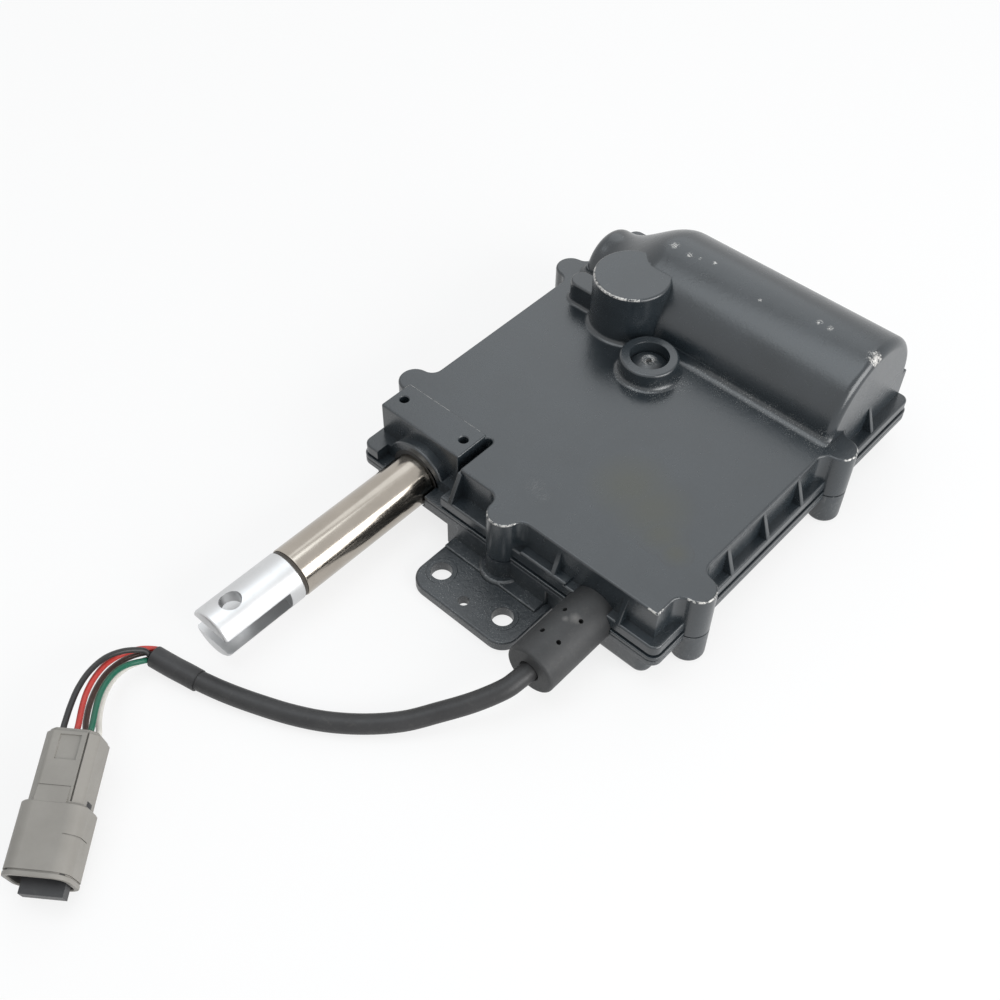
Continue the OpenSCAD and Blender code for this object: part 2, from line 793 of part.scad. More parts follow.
module upper_cover() {
  color([0.13, 0.14, 0.15])
    difference() {
      union() {
        difference() {
          union() {
            translate([0, 0, split_z]) linear_extrude(plate_z - split_z) {
              cover_2d();
              lobes_2d();
            }
            translate([0, 0, split_z]) linear_extrude(lip_h) flange_2d();
            translate([0, 0, split_z]) linear_extrude(flange_up - eps) flange_2d(groove_d);
            translate([0, 0, split_z + lip_h + groove_h])
              linear_extrude(flange_up - lip_h - groove_h) flange_2d(band_set);
            gussets();
            translate([block_back, block_left, split_z])
              cube([block_l, block_w, plate_z + block_h - split_z]);
            intersection() {
              dome_form(0, 0);
              over_plate();
            }
            translate([motor_x - dome_r, dome_left, split_z])
              cube([dome_r, dome_right - dome_left, plate_z - split_z]);
            translate([pot_x, pot_y, plate_z]) boss(tall_r, tall_h, boss_edge, boss_fillet);
            translate([pot_x + key_dx, pot_y - key_set, plate_z]) boss(key_r, key_h, boss_edge, boss_fillet);
            translate([pot_x + key_dx - key_web / 2, pot_y - key_set, plate_z - eps])
              cube([key_web, key_set, key_h - boss_edge]);
            translate([cup_x, cup_y, plate_z]) boss(cup_r, cup_h, boss_edge, boss_fillet);
            along_x(block_front - eps, rod_y, split_z)
              cylinder(r = collar_r, h = mouth_x - block_front + eps);
          }
          translate([back_x + wall, -side_y + wall, split_z - eps])
            cube([block_back - back_x - 2 * wall, plate_w - 2 * wall, hollow_h]);
          translate([block_back - wall - eps, block_right + notch_w + wall, split_z - eps])
            cube([inner_front - block_back + wall + eps, side_y - block_right - notch_w - 2 * wall, hollow_h]);
          intersection() {
            dome_form(wall, hump_wall);
            translate([back_x - dome_r, -2 * side_y, split_z - eps])
              cube([plate_l, 4 * side_y, plate_z + dome_r]);
          }
          translate([pot_x, pot_y, split_z])
            cylinder(r = pot_r + seat_gap, h = plate_z + tall_h - wall - split_z);
        }
        intersection() {
          union() {
            bearing_seat(front_bearing_x - seat_shoulder, seat_w, front_bearing_r, split_z, split_z + hollow_h);
            bearing_seat(
              rear_bearing_x - seat_gap - eps, rear_bearing_w + eps, rear_bearing_r, split_z, split_z + hollow_h
            );
          }
          translate([back_x, -side_y, split_z]) cube([plate_l, plate_w, plate_z - split_z]);
        }
        translate([cup_x, cup_y, split_z]) cylinder(r = pillar_r, h = plate_z - split_z);
        along_y(motor_x, hump_end + hump_wall - eps, plate_z)
          cylinder(r = shaft_bush_r + seat_gap + seat_wall, h = end_bush_l + eps);
      }
      rod_cuts();
      grommet_cut();
      translate([-2 * plate_l, -plate_w, -plate_z]) cube([4 * plate_l, 2 * plate_w, plate_z + split_z]);
      for (p = lobe_places)
        translate([p[0], p[1], split_z - eps])
          cylinder(r = screw_r + seat_gap, h = screw_grip + screw_end_gap + eps);
      for (y = [block_left + block_hole_set, block_right - block_hole_set])
        translate([block_back + block_hole_back, y, plate_z + block_h - block_hole_d])
          cylinder(r = block_hole_r, h = block_hole_d + eps);
      translate([cup_x, cup_y, plate_z + cup_h - cup_bore_d]) cylinder(r = cup_bore_r, h = cup_bore_d + eps);
      translate([cup_x, cup_y, split_z - eps]) cylinder(r = screw_r + seat_gap, h = plate_z + cup_h);
      along_y(motor_x, hump_end + hump_wall, plate_z)
        cylinder(r = shaft_bush_r + seat_gap, h = end_bush_l + eps);
      worm_room();
      translate([mouth_x, rod_y - collar_r, split_z + lip_h])
        cube([flange_front - mouth_x + eps, block_right - rod_y + collar_r, flange_up]);
    }
}

// The tray's shallow rim in plan, moved in by a setback
module rim_2d(set = 0) {
  translate([flange_back + tray_set + set, -side_y - flange_out + tray_side_set + set])
    round_rect(
      [plate_l + 2 * (flange_out - tray_set - set), plate_w + 2 * (flange_out - tray_side_set - set)],
      flange_r - set
    );
}

// The deep pan's inside in plan, with the part of it that reaches forward to the ear's wall
module pan_inside_2d() {
  translate([pan_back + wall, wall - pan_side])
    round_rect([pan_front - pan_back - 2 * wall, 2 * (pan_side - wall)], pan_r - wall);
  translate([pan_back + wall, web_left + wall])
    round_rect([web_front - pan_back - 2 * wall, pan_side - web_left - 2 * wall], pan_r - wall);
}

// A pan's outer form with rounded bottom edges, from the deep pan's back to a front, between two sides
module pan_form(front, right, left) {
  hull()
    for (x = [pan_back + pan_r, front - pan_r], y = [right - pan_r, left + pan_r])
      translate([x, y, tray_z])
        rotate_extrude($fn = 32) {
          square([pan_r - tray_r, rim_z + floor_t - tray_z]);
          translate([0, tray_r]) square([pan_r, rim_z + floor_t - tray_z - tray_r]);
          intersection() {
            translate([pan_r - tray_r, tray_r]) circle(tray_r);
            square([pan_r, tray_r]);
          }
        }
}

// A post under a screw lobe, with a rounded bottom edge
module post() {
  translate([0, 0, tray_top])
    mirror([0, 0, 1])
      rotate_extrude()
        intersection() {
          bar_half(lobe_r, tray_top, post_edge);
          square([lobe_r, tray_top]);
        }
}

// The rounded collar at the foot of the front post, where it stands on the ear
module post_collar() {
  rotate_extrude()
    intersection() {
      bar_half(lobe_r + collar_out, ear_t + collar_up, collar_up);
      square([lobe_r + collar_out, ear_t + collar_up]);
    }
}

// The mounting ear in plan
module ear_2d() {
  translate([flange_front - ear_r, -ear_w / 2])
    round_rect([ear_reach - flange_front + ear_r, ear_w], ear_r);
}

// The posts that carry the terminal board
module board_posts(r, h) {
  for (x = [-1, 1] * (board_l / 2 - board_edge), y = [-1, 1] * (board_w / 2 - board_edge))
    translate([board_x + x, board_y + y, floor_z - eps])
      cylinder(r = r, h = h + eps);
}

module lower_tray() {
  color([0.12, 0.13, 0.14])
    difference() {
      union() {
        difference() {
          union() {
            pan_form(pan_front, pan_side, -pan_side);
            pan_form(web_front, pan_side, web_left);
            translate([0, 0, rim_z]) linear_extrude(tray_top - rim_z) rim_2d();
            translate([0, 0, split_z - flange_down]) linear_extrude(flange_down - gasket_t) flange_2d();
          }
          translate([0, 0, floor_z]) linear_extrude(split_z) pan_inside_2d();
          translate([0, 0, rim_z + floor_t]) linear_extrude(split_z) rim_2d(wall);
        }
        translate([web_front - wall, web_left, 0])
          cube([flange_front - web_front + wall, ear_w / 2 - web_left, tray_top]);
        for (p = lobe_places)
          translate([p[0], p[1]]) post();
        linear_extrude(ear_t) ear_2d();
        for (y = [-1, 1])
          translate([0, y * ear_pitch / 2]) cylinder(r = ear_ring_r, h = ear_t + ear_ring_h);
        translate([flange_front - eps, -ear_w / 2, ear_t - eps])
          cube([ear_ridge + eps, ear_w, ridge_h + eps]);
        translate([lobe_places[0][0], lobe_places[0][1]]) post_collar();
        intersection() {
          along_x(block_back - wall, rod_y, split_z)
            cylinder(r = collar_r, h = mouth_x - block_back + wall);
          translate([block_back - wall, rod_y - 2 * collar_r, tray_z])
            cube([plate_l, 4 * collar_r, tray_top - tray_z]);
        }
        intersection() {
          union() {
            bearing_seat(front_bearing_x - seat_shoulder, seat_w, front_bearing_r, floor_z - eps, tray_top);
            bearing_seat(
              back_x - eps, wall + rear_bearing_w + seat_gap, rear_bearing_r, floor_z - eps, tray_top
            );
            for (y = [motor_front + motor_cap_t + cradle_w, motor_rear - motor_cap_t - 2 * cradle_w])
              translate([motor_x - cradle_l / 2, y, floor_z - eps])
                cube([cradle_l, cradle_w, tray_top - floor_z + eps]);
            translate([cup_x, cup_y, floor_z - eps]) cylinder(r = pillar_r, h = tray_top - floor_z + eps);
            translate([pot_x, pot_y, floor_z - eps])
              cylinder(r = pot_shaft_r + seat_wall, h = pot_gear_z - seat_shoulder - floor_z + eps);
            board_posts(board_post_r, board_rise);
          }
          translate([back_x - flange_out / 2, -side_y, tray_z]) cube([plate_l, plate_w, tray_top - tray_z]);
        }
      }
      rod_cuts();
      grommet_cut();
      along_y(motor_x, motor_front - cradle_w, plate_z)
        cylinder(r = motor_r + cradle_gap, h = motor_l + 2 * motor_cap_t + 2 * cradle_w);
      for (p = lobe_places)
        translate([p[0], p[1], -eps]) {
          cylinder(r = screw_r + seat_gap, h = split_z + eps);
          cylinder(r = screw_head_r + seat_gap, h = screw_sink + screw_head_h + eps);
        }
      for (y = [-1, 1])
        translate([0, y * ear_pitch / 2, -eps]) cylinder(r = ear_hole_r, h = ear_t + ear_ring_h + 2 * eps);
      translate([locate_x, 0, -eps]) cylinder(r = locate_r, h = ear_t + 2 * eps);
      translate([cup_x, cup_y, floor_z + seat_wall]) cylinder(r = screw_r + seat_gap, h = split_z);
      translate([pot_x, pot_y, floor_z + seat_shoulder]) cylinder(r = pot_shaft_r + run_gap, h = split_z);
    }
}

module cover_gasket() {
  color([0.05, 0.05, 0.05])
    difference() {
      translate([0, 0, tray_top])
        linear_extrude(gasket_t)
          difference() {
            union() {
              difference() {
                flange_2d(gasket_set);
                rim_2d(wall);
              }
              for (p = lobe_places)
                translate([p[0], p[1]]) circle(lobe_r - gasket_set);
            }
            for (p = lobe_places)
              translate([p[0], p[1]]) circle(screw_r + seat_gap);
          }
      rod_cuts();
      grommet_cut();
    }
}

// A socket head screw pointing up, with its head's underside at z = 0
module socket_screw(r, l, head_r, head_h) {
  difference() {
    union() {
      cylinder(r = r, h = l);
      translate([0, 0, -head_h]) cylinder(r = head_r, h = head_h);
    }
    translate([0, 0, -head_h - eps])
      cylinder(r = head_r * socket_wide, h = head_h * socket_deep + eps, $fn = 6);
  }
}

module cover_screws() {
  color([0.55, 0.55, 0.56])
    for (p = lobe_places)
      translate([p[0], p[1], screw_sink + screw_head_h])
        socket_screw(screw_r, split_z + screw_grip - screw_sink - screw_head_h, screw_head_r, screw_head_h);
}

module boss_screw() {
  seat = plate_z + cup_h - cup_bore_d;
  color([0.72, 0.72, 0.70])
    translate([cup_x, cup_y, seat])
      mirror([0, 0, 1])
        socket_screw(screw_r, seat - floor_z - seat_wall - screw_end_gap, boss_head_r, boss_head_h);
}

module guide_bush() {
  back = block_back - wall;
  color([0.70, 0.58, 0.36])
    along_x(back + seat_gap, rod_y, split_z)
      ring(rod_r + bush_t, rod_r + run_gap, bush_front - back - 2 * seat_gap);
}

module rod_wiper() {
  color([0.04, 0.04, 0.04])
    along_x(bush_front, rod_y, split_z)
      ring(rod_r + wiper_t, rod_r + run_gap, wiper_l);
}

module front_bearing() {
  color([0.62, 0.63, 0.65])
    along_x(front_bearing_x, rod_y, split_z)
      ring(front_bearing_r, shoulder_r + run_gap, front_bearing_w);
}

module rear_bearing() {
  color([0.62, 0.63, 0.65])
    along_x(rear_bearing_x, rod_y, split_z)
      ring(rear_bearing_r, journal_r + run_gap, rear_bearing_w);
}

module motor_can() {
  color([0.50, 0.51, 0.53])
    along_y(motor_x, can_front, plate_z)
      ring(motor_r, motor_r - can_wall, motor_l);
}

module motor_end_cap() {
  color([0.16, 0.16, 0.17])
    along_y(motor_x, can_front + motor_l, plate_z)
      difference() {
        cylinder(r = motor_r, h = motor_cap_t);
        translate([0, 0, -eps]) cylinder(r = shaft_bush_r + seat_gap, h = motor_cap_t - cap_skin + eps);
      }
}

module motor_front_bracket() {
  color([0.45, 0.46, 0.48])
    along_y(motor_x, motor_front - nose_l, plate_z)
      difference() {
        union() {
          cylinder(r = shaft_bush_r + seat_gap + seat_wall, h = nose_l + eps);
          translate([0, 0, nose_l]) cylinder(r = motor_r, h = motor_cap_t);
        }
        translate([0, 0, -eps]) cylinder(r = shaft_bush_r + seat_gap, h = nose_l + motor_cap_t + 2 * eps);
      }
}

module motor_magnets() {
  outer = motor_r - can_wall - seat_gap;
  color([0.25, 0.24, 0.24])
    along_y(motor_x, core_front, plate_z)
      difference() {
        ring(outer, outer - magnet_t, core_l);
        for (side = [-1, 1])
          translate([-magnet_split / 2, side * outer - magnet_t * 2, -eps])
            cube([magnet_split, magnet_t * 4, core_l + 2 * eps]);
      }
}

module motor_brushes() {
  color([0.18, 0.17, 0.17])
    for (side = [0, 180])
      translate([motor_x, can_front + motor_l - brush_w, plate_z])
        rotate([0, side, 0])
          translate([commutator_r + run_gap, 0, -brush_w / 2])
            cube([motor_r - can_wall - seat_gap - brush_end_gap - commutator_r, brush_w, brush_w]);
}

module motor_rear_bush() {
  color([0.70, 0.58, 0.36])
    along_y(motor_x, can_front + motor_l, plate_z)
      ring(shaft_bush_r, shaft_r + run_gap, motor_cap_t - cap_skin - seat_gap);
}

module motor_front_bush() {
  color([0.70, 0.58, 0.36])
    along_y(motor_x, motor_front - nose_l, plate_z)
      ring(shaft_bush_r, shaft_r + run_gap, nose_l + motor_cap_t);
}

module worm_end_bush() {
  color([0.70, 0.58, 0.36])
    along_y(motor_x, hump_end + hump_wall + seat_gap, plate_z)
      ring(shaft_bush_r, shaft_r + run_gap, end_bush_l - seat_gap);
}

module potentiometer_body() {
  color([0.15, 0.18, 0.25])
    translate([pot_x, pot_y, pot_top - pot_h])
      difference() {
        cylinder(r = pot_r, h = pot_h);
        translate([0, 0, -eps]) cylinder(r = pot_shaft_r + run_gap, h = pot_shaft_in + eps);
      }
}

module terminal_board() {
  color([0.12, 0.35, 0.20])
    translate([board_x - board_l / 2, board_y - board_w / 2, board_z])
      cube([board_l, board_w, board_t]);
}

module cable_grommet() {
  color([0.07, 0.07, 0.07])
    difference() {
      along_x(grommet_back, cable_y, split_z)
        rotate_extrude()
          difference() {
            intersection() {
              bar_half(grommet_r, grommet_l, grommet_edge);
              square([grommet_r, grommet_l]);
            }
            translate([0, -eps]) square([cable_r + seat_gap, grommet_l + 2 * eps]);
          }
      for (x = [-1, 1] * dimple_set, turn = [-1, 1] * dimple_turn)
        translate([x, cable_y, split_z])
          rotate([turn, 0, 0])
            translate([0, 0, grommet_r - dimple_d]) cylinder(r = dimple_r, h = dimple_d + eps);
    }
}

module cable_jacket() {
  color([0.05, 0.05, 0.05]) swept(cable_route, cable_r, 12, [1, 0, 0], cable_dir);
}

// One loose wire, from the cable's end to its contact
module wire(index) {
  swept(wire_route(wire_plan[index]), wire_r, 8, cable_dir, conn_dir);
}
module wire_black() {
  color([0.05, 0.05, 0.05]) wire(0);
}
module wire_red() {
  color([0.62, 0.13, 0.10]) wire(1);
}
module wire_brown() {
  color([0.36, 0.20, 0.13]) wire(2);
}
module wire_green() {
  color([0.10, 0.40, 0.22]) wire(3);
}
module wire_white() {
  color([0.85, 0.84, 0.80]) wire(4);
}

// Turns a shape into the connector's own frame: X along its axis from its rear face, Y to its left
module in_connector() {
  translate(conn_rear) rotate([0, conn_pitch, conn_turn]) children();
}

// A rectangle about the origin with chamfered corners
module chamfered_2d(w, h, c) {
  polygon([
    [-w / 2 + c, -h / 2], [w / 2 - c, -h / 2], [w / 2, -h / 2 + c], [w / 2, h / 2 - c],
    [w / 2 - c, h / 2], [-w / 2 + c, h / 2], [-w / 2, h / 2 - c], [-w / 2, -h / 2 + c]
  ]);
}

// Extrudes a section along the connector's axis, between two distances from its rear face
module conn_bar(from, to) {
  translate([from, 0, 0])
    rotate([90, 0, 90])
      linear_extrude(to - from)
        children();
}

// The front shell's section, moved in by a setback
module shell_2d(set) {
  translate([set - conn_front_w / 2, set - conn_front_h / 2])
    round_rect([conn_front_w - 2 * set, conn_front_h - 2 * set], conn_round - set);
}

module connector_body() {
  color([0.60, 0.58, 0.55])
    in_connector()
      difference() {
        union() {
          conn_bar(conn_skin, conn_rear_l) chamfered_2d(conn_rear_w, conn_rear_h, conn_chamfer);
          conn_bar(0, conn_skin + eps)
            chamfered_2d(conn_rear_w - conn_wall, conn_rear_h - conn_wall, conn_chamfer);
          conn_bar(conn_rear_l - eps, conn_l)
            shell_2d(0);
        }
        conn_bar(conn_rear_l + conn_wall, conn_l + eps)
          shell_2d(conn_wall);
        conn_bar(-eps, conn_seal_l) square([seal_w + 2 * seat_gap, seal_h + 2 * seat_gap], center = true);
        conn_bar(conn_l - rim_l - rim_groove, conn_l - rim_l)
          difference() {
            square([2 * conn_front_w, 2 * conn_front_h], center = true);
            shell_2d(rim_groove);
          }
        for (p = contact_plan)
          translate([0, p[0] * pin_pitch, p[1] * pin_row])
            rotate([0, 90, 0]) cylinder(r = contact_r + run_gap, h = conn_l);
        conn_bar(conn_rear_l - wedge_root, conn_l) wedge_2d(run_gap);
      }
}

// The lock's section, between the two rows of contacts
module wedge_2d(gap) {
  translate([wedge_shift, 0]) square([wedge_w + 2 * gap, wedge_h + 2 * gap], center = true);
}

module connector_wedge() {
  color([0.12, 0.12, 0.13])
    in_connector()
      conn_bar(conn_rear_l - wedge_root + seat_gap, conn_l + wedge_out) wedge_2d(0);
}

module connector_pins() {
  color([0.75, 0.70, 0.55])
    in_connector()
      for (p = contact_plan)
        translate([conn_seal_l + seat_gap, p[0] * pin_pitch, p[1] * pin_row])
          rotate([0, 90, 0]) cylinder(r = contact_r, h = conn_l - pin_tip_set - conn_seal_l);
}

module connector_seal() {
  color([0.35, 0.34, 0.33])
    in_connector()
      conn_bar(0, conn_seal_l) square([seal_w, seal_h], center = true);
}

module motor_shaft() {
  back = hump_end + hump_wall + 2 * seat_gap;
  color([0.70, 0.70, 0.72])
    along_y(motor_x, back, plate_z)
      cylinder(r = shaft_r, h = can_front + motor_l + motor_cap_t - cap_skin - seat_gap - back);
}

module motor_armature() {
  outer = motor_r - can_wall - seat_gap - magnet_t - air_gap;
  color([0.42, 0.32, 0.24])
    along_y(motor_x, core_front, plate_z)
      difference() {
        ring(outer, shaft_r, core_l);
        for (k = [0 : armature_slots - 1])
          rotate(360 * k / armature_slots)
            translate([outer - slot_depth, -slot_width / 2, -eps])
              cube([slot_depth + eps, slot_width, core_l + 2 * eps]);
      }
}

module commutator() {
  color([0.72, 0.45, 0.28])
    along_y(motor_x, can_front + motor_l - commutator_l, plate_z)
      ring(commutator_r, shaft_r, commutator_l - seat_gap);
}

// Radius of a single-start worm at a share of its pitch from the middle of the thread
function thread_radius(share, r, m, pitch) =
  let (at_pitch = pitch / 4 - backlash / 4)
  let (from_middle = abs(share) * pitch)
  let (rise = (at_pitch - from_middle) / tan(pressure_angle))
  r + max(-m - tooth_clear / 2, min(m - tooth_clear / 2, rise));

// A right-handed worm about the Z axis from z = 0, its thread facing +Y at half its length
module worm(r, m, l, bore) {
  pitch = PI * m;
  outline = [
    for (k = [0 : worm_points - 1])
      let (share = k / worm_points - 0.5)
      let (a = 90 - 180 * l / pitch - 360 * share)
      thread_radius(share, r, m, pitch) * [cos(a), sin(a)]
  ];
  difference() {
    linear_extrude(l, twist = -360 * l / pitch, slices = ceil(worm_slices * l / pitch), convexity = 10)
      polygon(outline);
    translate([0, 0, -eps]) cylinder(r = bore, h = l + 2 * eps);
  }
}

// A right-handed helical gear about the Z axis, with a tooth space facing an angle at half its width
module worm_gear(teeth, m, w, lead_angle, facing, bore) {
  r = m * teeth / 2;
  swing = w * tan(lead_angle) / r * 180 / PI;
  half_tip = (PI * m / 4 - backlash / 4 - (m - tooth_clear / 2) * tan(pressure_angle)) / r * 180 / PI;
  half_root = (PI * m / 4 - backlash / 4 + (m + tooth_clear / 2) * tan(pressure_angle)) / r * 180 / PI;
  tip = r + m - tooth_clear / 2;
  root = r - m - tooth_clear / 2;
  outline = [
    for (k = [0 : teeth - 1])
      let (a = facing + 360 * (k + 0.5) / teeth - swing / 2)
      for (corner = [[root, -half_root], [tip, -half_tip], [tip, half_tip], [root, half_root]])
        corner[0] * [cos(a + corner[1]), sin(a + corner[1])]
  ];
  difference() {
    linear_extrude(w, twist = -swing, slices = gear_slices, convexity = 10) polygon(outline);
    translate([0, 0, -eps]) cylinder(r = bore, h = w + 2 * eps);
  }
}

module drive_worm() {
  color([0.58, 0.59, 0.61])
    along_y(motor_x, rod_y - worm_l / 2, plate_z)
      worm(worm_r, drive_module, worm_l, shaft_r + run_gap);
}

module lead_screw() {
  color([0.66, 0.67, 0.69])
    along_x(rear_bearing_x, rod_y, split_z) {
      cylinder(r = journal_r, h = shoulder_back - rear_bearing_x + eps);
      translate([0, 0, shoulder_back - rear_bearing_x])
        cylinder(r = shoulder_r, h = shoulder_front - shoulder_back);
      translate([0, 0, shoulder_front - rear_bearing_x - eps])
        cylinder(r = lead_r, h = lead_front - shoulder_front + eps);
    }
}

module worm_wheel() {
  color([0.78, 0.62, 0.34])
    along_x(motor_x - wheel_w / 2, rod_y, split_z)
      worm_gear(wheel_teeth, drive_module, wheel_w, worm_lead_angle, 180, shoulder_r + run_gap);
}

module feedback_worm() {
  color([0.80, 0.79, 0.74])
    along_x(pot_x - feedback_worm_l / 2, rod_y, split_z)
      worm(feedback_worm_r, feedback_module, feedback_worm_l, lead_r + run_gap);
}

module rod_tube() {
  color([0.72, 0.69, 0.63])
    along_x(tube_back, rod_y, split_z)
      ring(rod_r, bore_r, tube_reach - tube_back);
}

module rod_clevis() {
  color([0.78, 0.78, 0.77])
    difference() {
      translate([0, rod_y, split_z]) {
        along_x(clevis_x)
          rotate_extrude()
            polygon([
              [0, 0], [clevis_r, 0], [clevis_r, clevis_l - tip_chamfer],
              [clevis_r - tip_chamfer, clevis_l], [0, clevis_l]
            ]);
        along_x(clevis_x - ring_w - spigot_l)
          cylinder(r = bore_r - run_gap, h = ring_w + spigot_l + eps);
      }
      translate([tip_x - slot_l, rod_y - 2 * clevis_r, split_z - slot_h / 2])
        cube([slot_l + eps, 4 * clevis_r, slot_h]);
      translate([tip_x - pin_set, rod_y, split_z - 2 * clevis_r]) cylinder(r = pin_r, h = 4 * clevis_r);
    }
}

module clevis_ring() {
  color([0.10, 0.10, 0.10])
    along_x(tube_reach, rod_y, split_z)
      ring(rod_r - ring_d, bore_r, ring_w);
}

module drive_nut() {
  color([0.74, 0.58, 0.30])
    along_x(tube_back, rod_y, split_z)
      ring(bore_r - run_gap, lead_r + run_gap, nut_l);
}

module potentiometer_shaft() {
  foot = floor_z + seat_shoulder + seat_gap;
  color([0.72, 0.72, 0.74])
    translate([pot_x, pot_y, foot])
      cylinder(r = pot_shaft_r, h = pot_top - pot_h + pot_shaft_in - seat_gap - foot);
}

module feedback_gear() {
  color([0.88, 0.86, 0.78])
    translate([pot_x, pot_y, pot_gear_z])
      worm_gear(
        feedback_teeth, feedback_module, feedback_gear_t, feedback_lead_angle, 270, pot_shaft_r + run_gap
      );
}

upper_cover();
lower_tray();
cover_gasket();
cover_screws();
boss_screw();
guide_bush();
rod_wiper();
front_bearing();
rear_bearing();
motor_can();
motor_end_cap();
motor_front_bracket();
motor_magnets();
motor_brushes();
motor_rear_bush();
motor_front_bush();
worm_end_bush();
potentiometer_body();
terminal_board();
cable_grommet();
cable_jacket();
wire_black();
wire_red();
wire_brown();
wire_green();
wire_white();
connector_body();
connector_wedge();
connector_pins();
connector_seal();
motor_shaft();
motor_armature();
commutator();
drive_worm();
lead_screw();
worm_wheel();
feedback_worm();
rod_tube();
rod_clevis();
clevis_ring();
drive_nut();
potentiometer_shaft();
feedback_gear();
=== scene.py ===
"""Dresses the engine governor actuator: castings, rod, cable and connector, finishes, studio and camera."""

from __future__ import annotations

import logging
import math
from dataclasses import dataclass, field
from enum import Enum
from typing import Callable, Iterable, Sequence

import bpy
from mathutils import Matrix, Vector

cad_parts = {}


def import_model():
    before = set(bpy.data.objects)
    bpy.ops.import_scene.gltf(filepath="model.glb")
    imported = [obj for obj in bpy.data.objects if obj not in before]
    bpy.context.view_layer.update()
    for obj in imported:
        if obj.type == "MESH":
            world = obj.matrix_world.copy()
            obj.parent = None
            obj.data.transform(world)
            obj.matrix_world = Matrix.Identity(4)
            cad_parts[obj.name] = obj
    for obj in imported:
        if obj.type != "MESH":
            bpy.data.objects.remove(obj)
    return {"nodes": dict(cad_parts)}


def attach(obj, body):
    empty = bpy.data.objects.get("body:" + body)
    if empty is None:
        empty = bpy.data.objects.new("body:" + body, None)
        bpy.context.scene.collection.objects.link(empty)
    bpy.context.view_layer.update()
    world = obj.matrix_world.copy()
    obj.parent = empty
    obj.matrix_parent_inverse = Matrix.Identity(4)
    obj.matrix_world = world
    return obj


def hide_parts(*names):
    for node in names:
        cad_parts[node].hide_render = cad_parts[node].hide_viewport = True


log = logging.getLogger("actuator")
MM = 0.001
Point = tuple[float, float, float]
Plan = tuple[float, float]
Colour = tuple[float, float, float]
Spot = tuple[float, float, float, float]
Box = tuple[Point, Point]
Section = tuple[Plan, ...]
Piece = bpy.types.Object
Finish = bpy.types.Material
Socket = bpy.types.NodeSocket


class Cut(Enum):
    """How one solid acts on another."""

    ADD = "UNION"
    TAKE = "DIFFERENCE"
    KEEP = "INTERSECT"


class Axis(Enum):
    """The axis that a turned piece is spun about."""

    X = (1.0, 0.0, 0.0)
    Y = (0.0, 1.0, 0.0)
    Z = (0.0, 0.0, 1.0)


@dataclass
class Outline:
    """A closed plan outline in millimetres, walked counterclockwise."""

    points: list[Plan] = field(default_factory=list)

    def to(self, x: float, y: float) -> Outline:
        """Add a corner, unless it repeats the last one.

        Args:
            x: Place along X.
            y: Place along Y.

        Returns:
            The outline itself, so that calls can follow each other.
        """
        if not self.points or math.dist(self.points[-1], (x, y)) > 1e-4:
            self.points.append((x, y))
        return self

    def arc(self, x: float, y: float, r: float, start: float, end: float, steps: int = 8) -> Outline:
        """Add the points of an arc.

        Args:
            x: Centre along X.
            y: Centre along Y.
            r: Radius.
            start: First angle in degrees.
            end: Last angle in degrees, below start for a hollow arc.
            steps: Number of chords.

        Returns:
            The outline itself.
        """
        for k in range(steps + 1):
            a = math.radians(start + (end - start) * k / steps)
            self.to(x + r * math.cos(a), y + r * math.sin(a))
        return self

    def lobe(self, x: float, y: float, facing: float, depths: Plan, r: float, fillet: float) -> Outline:
        """Add a round lobe that blends into the wall behind it.

        Args:
            x: Centre along X.
            y: Centre along Y.
            facing: Angle that the lobe faces, in degrees.
            depths: Distance of the wall behind the centre, before and after the lobe.
            r: Radius of the lobe.
            fillet: Radius of the blends on both sides.

        Returns:
            The outline itself.
        """
        turn = math.radians(facing)
        for side, depth in zip((-1, 1), depths):
            ahead = fillet - depth
            beside = side * math.sqrt((r + fillet) ** 2 - ahead**2)
            cx = x + ahead * math.cos(turn) - beside * math.sin(turn)
            cy = y + ahead * math.sin(turn) + beside * math.cos(turn)
            meet = math.degrees(math.atan2(-beside, -ahead))
            if side < 0:
                self.arc(cx, cy, fillet, facing + 180, facing + meet)
                start = math.degrees(math.atan2(beside, ahead))
            else:
                end = math.degrees(math.atan2(beside, ahead))
                self.arc(x, y, r, facing + start, facing + end, 18)
                self.arc(cx, cy, fillet, facing + meet, facing - 180)
        return self

    def moved(self, out: float) -> list[Plan]:
        """Move the outline outwards.

        Args:
            out: Distance in millimetres, below zero for inwards.

        Returns:
            The moved points, as many as the outline has.
        """
        found: list[Plan] = []
        count = len(self.points)
        for k, (x, y) in enumerate(self.points):
            px, py = self.points[k - 1]
            nx, ny = self.points[(k + 1) % count]
            a, b = math.hypot(x - px, y - py), math.hypot(nx - x, ny - y)
            n1, n2 = ((y - py) / a, (px - x) / a), ((ny - y) / b, (x - nx) / b)
            share = out / max(0.3, 1 + n1[0] * n2[0] + n1[1] * n2[1])
            found.append((x + share * (n1[0] + n2[0]), y + share * (n1[1] + n2[1])))
        return found

    @staticmethod
    def rounded(low: Plan, high: Plan, r: float, steps: int = 8) -> Outline:
        """Make a rectangle with rounded corners.

        Args:
            low: Lowest corner.
            high: Highest corner.
            r: Corner radius.
            steps: Chords in each corner.

        Returns:
            The outline.
        """
        west, south, east, north = low[0] + r, low[1] + r, high[0] - r, high[1] - r
        made = Outline().arc(east, south, r, -90, 0, steps).arc(east, north, r, 0, 90, steps)
        return made.arc(west, north, r, 90, 180, steps).arc(west, south, r, 180, 270, steps)


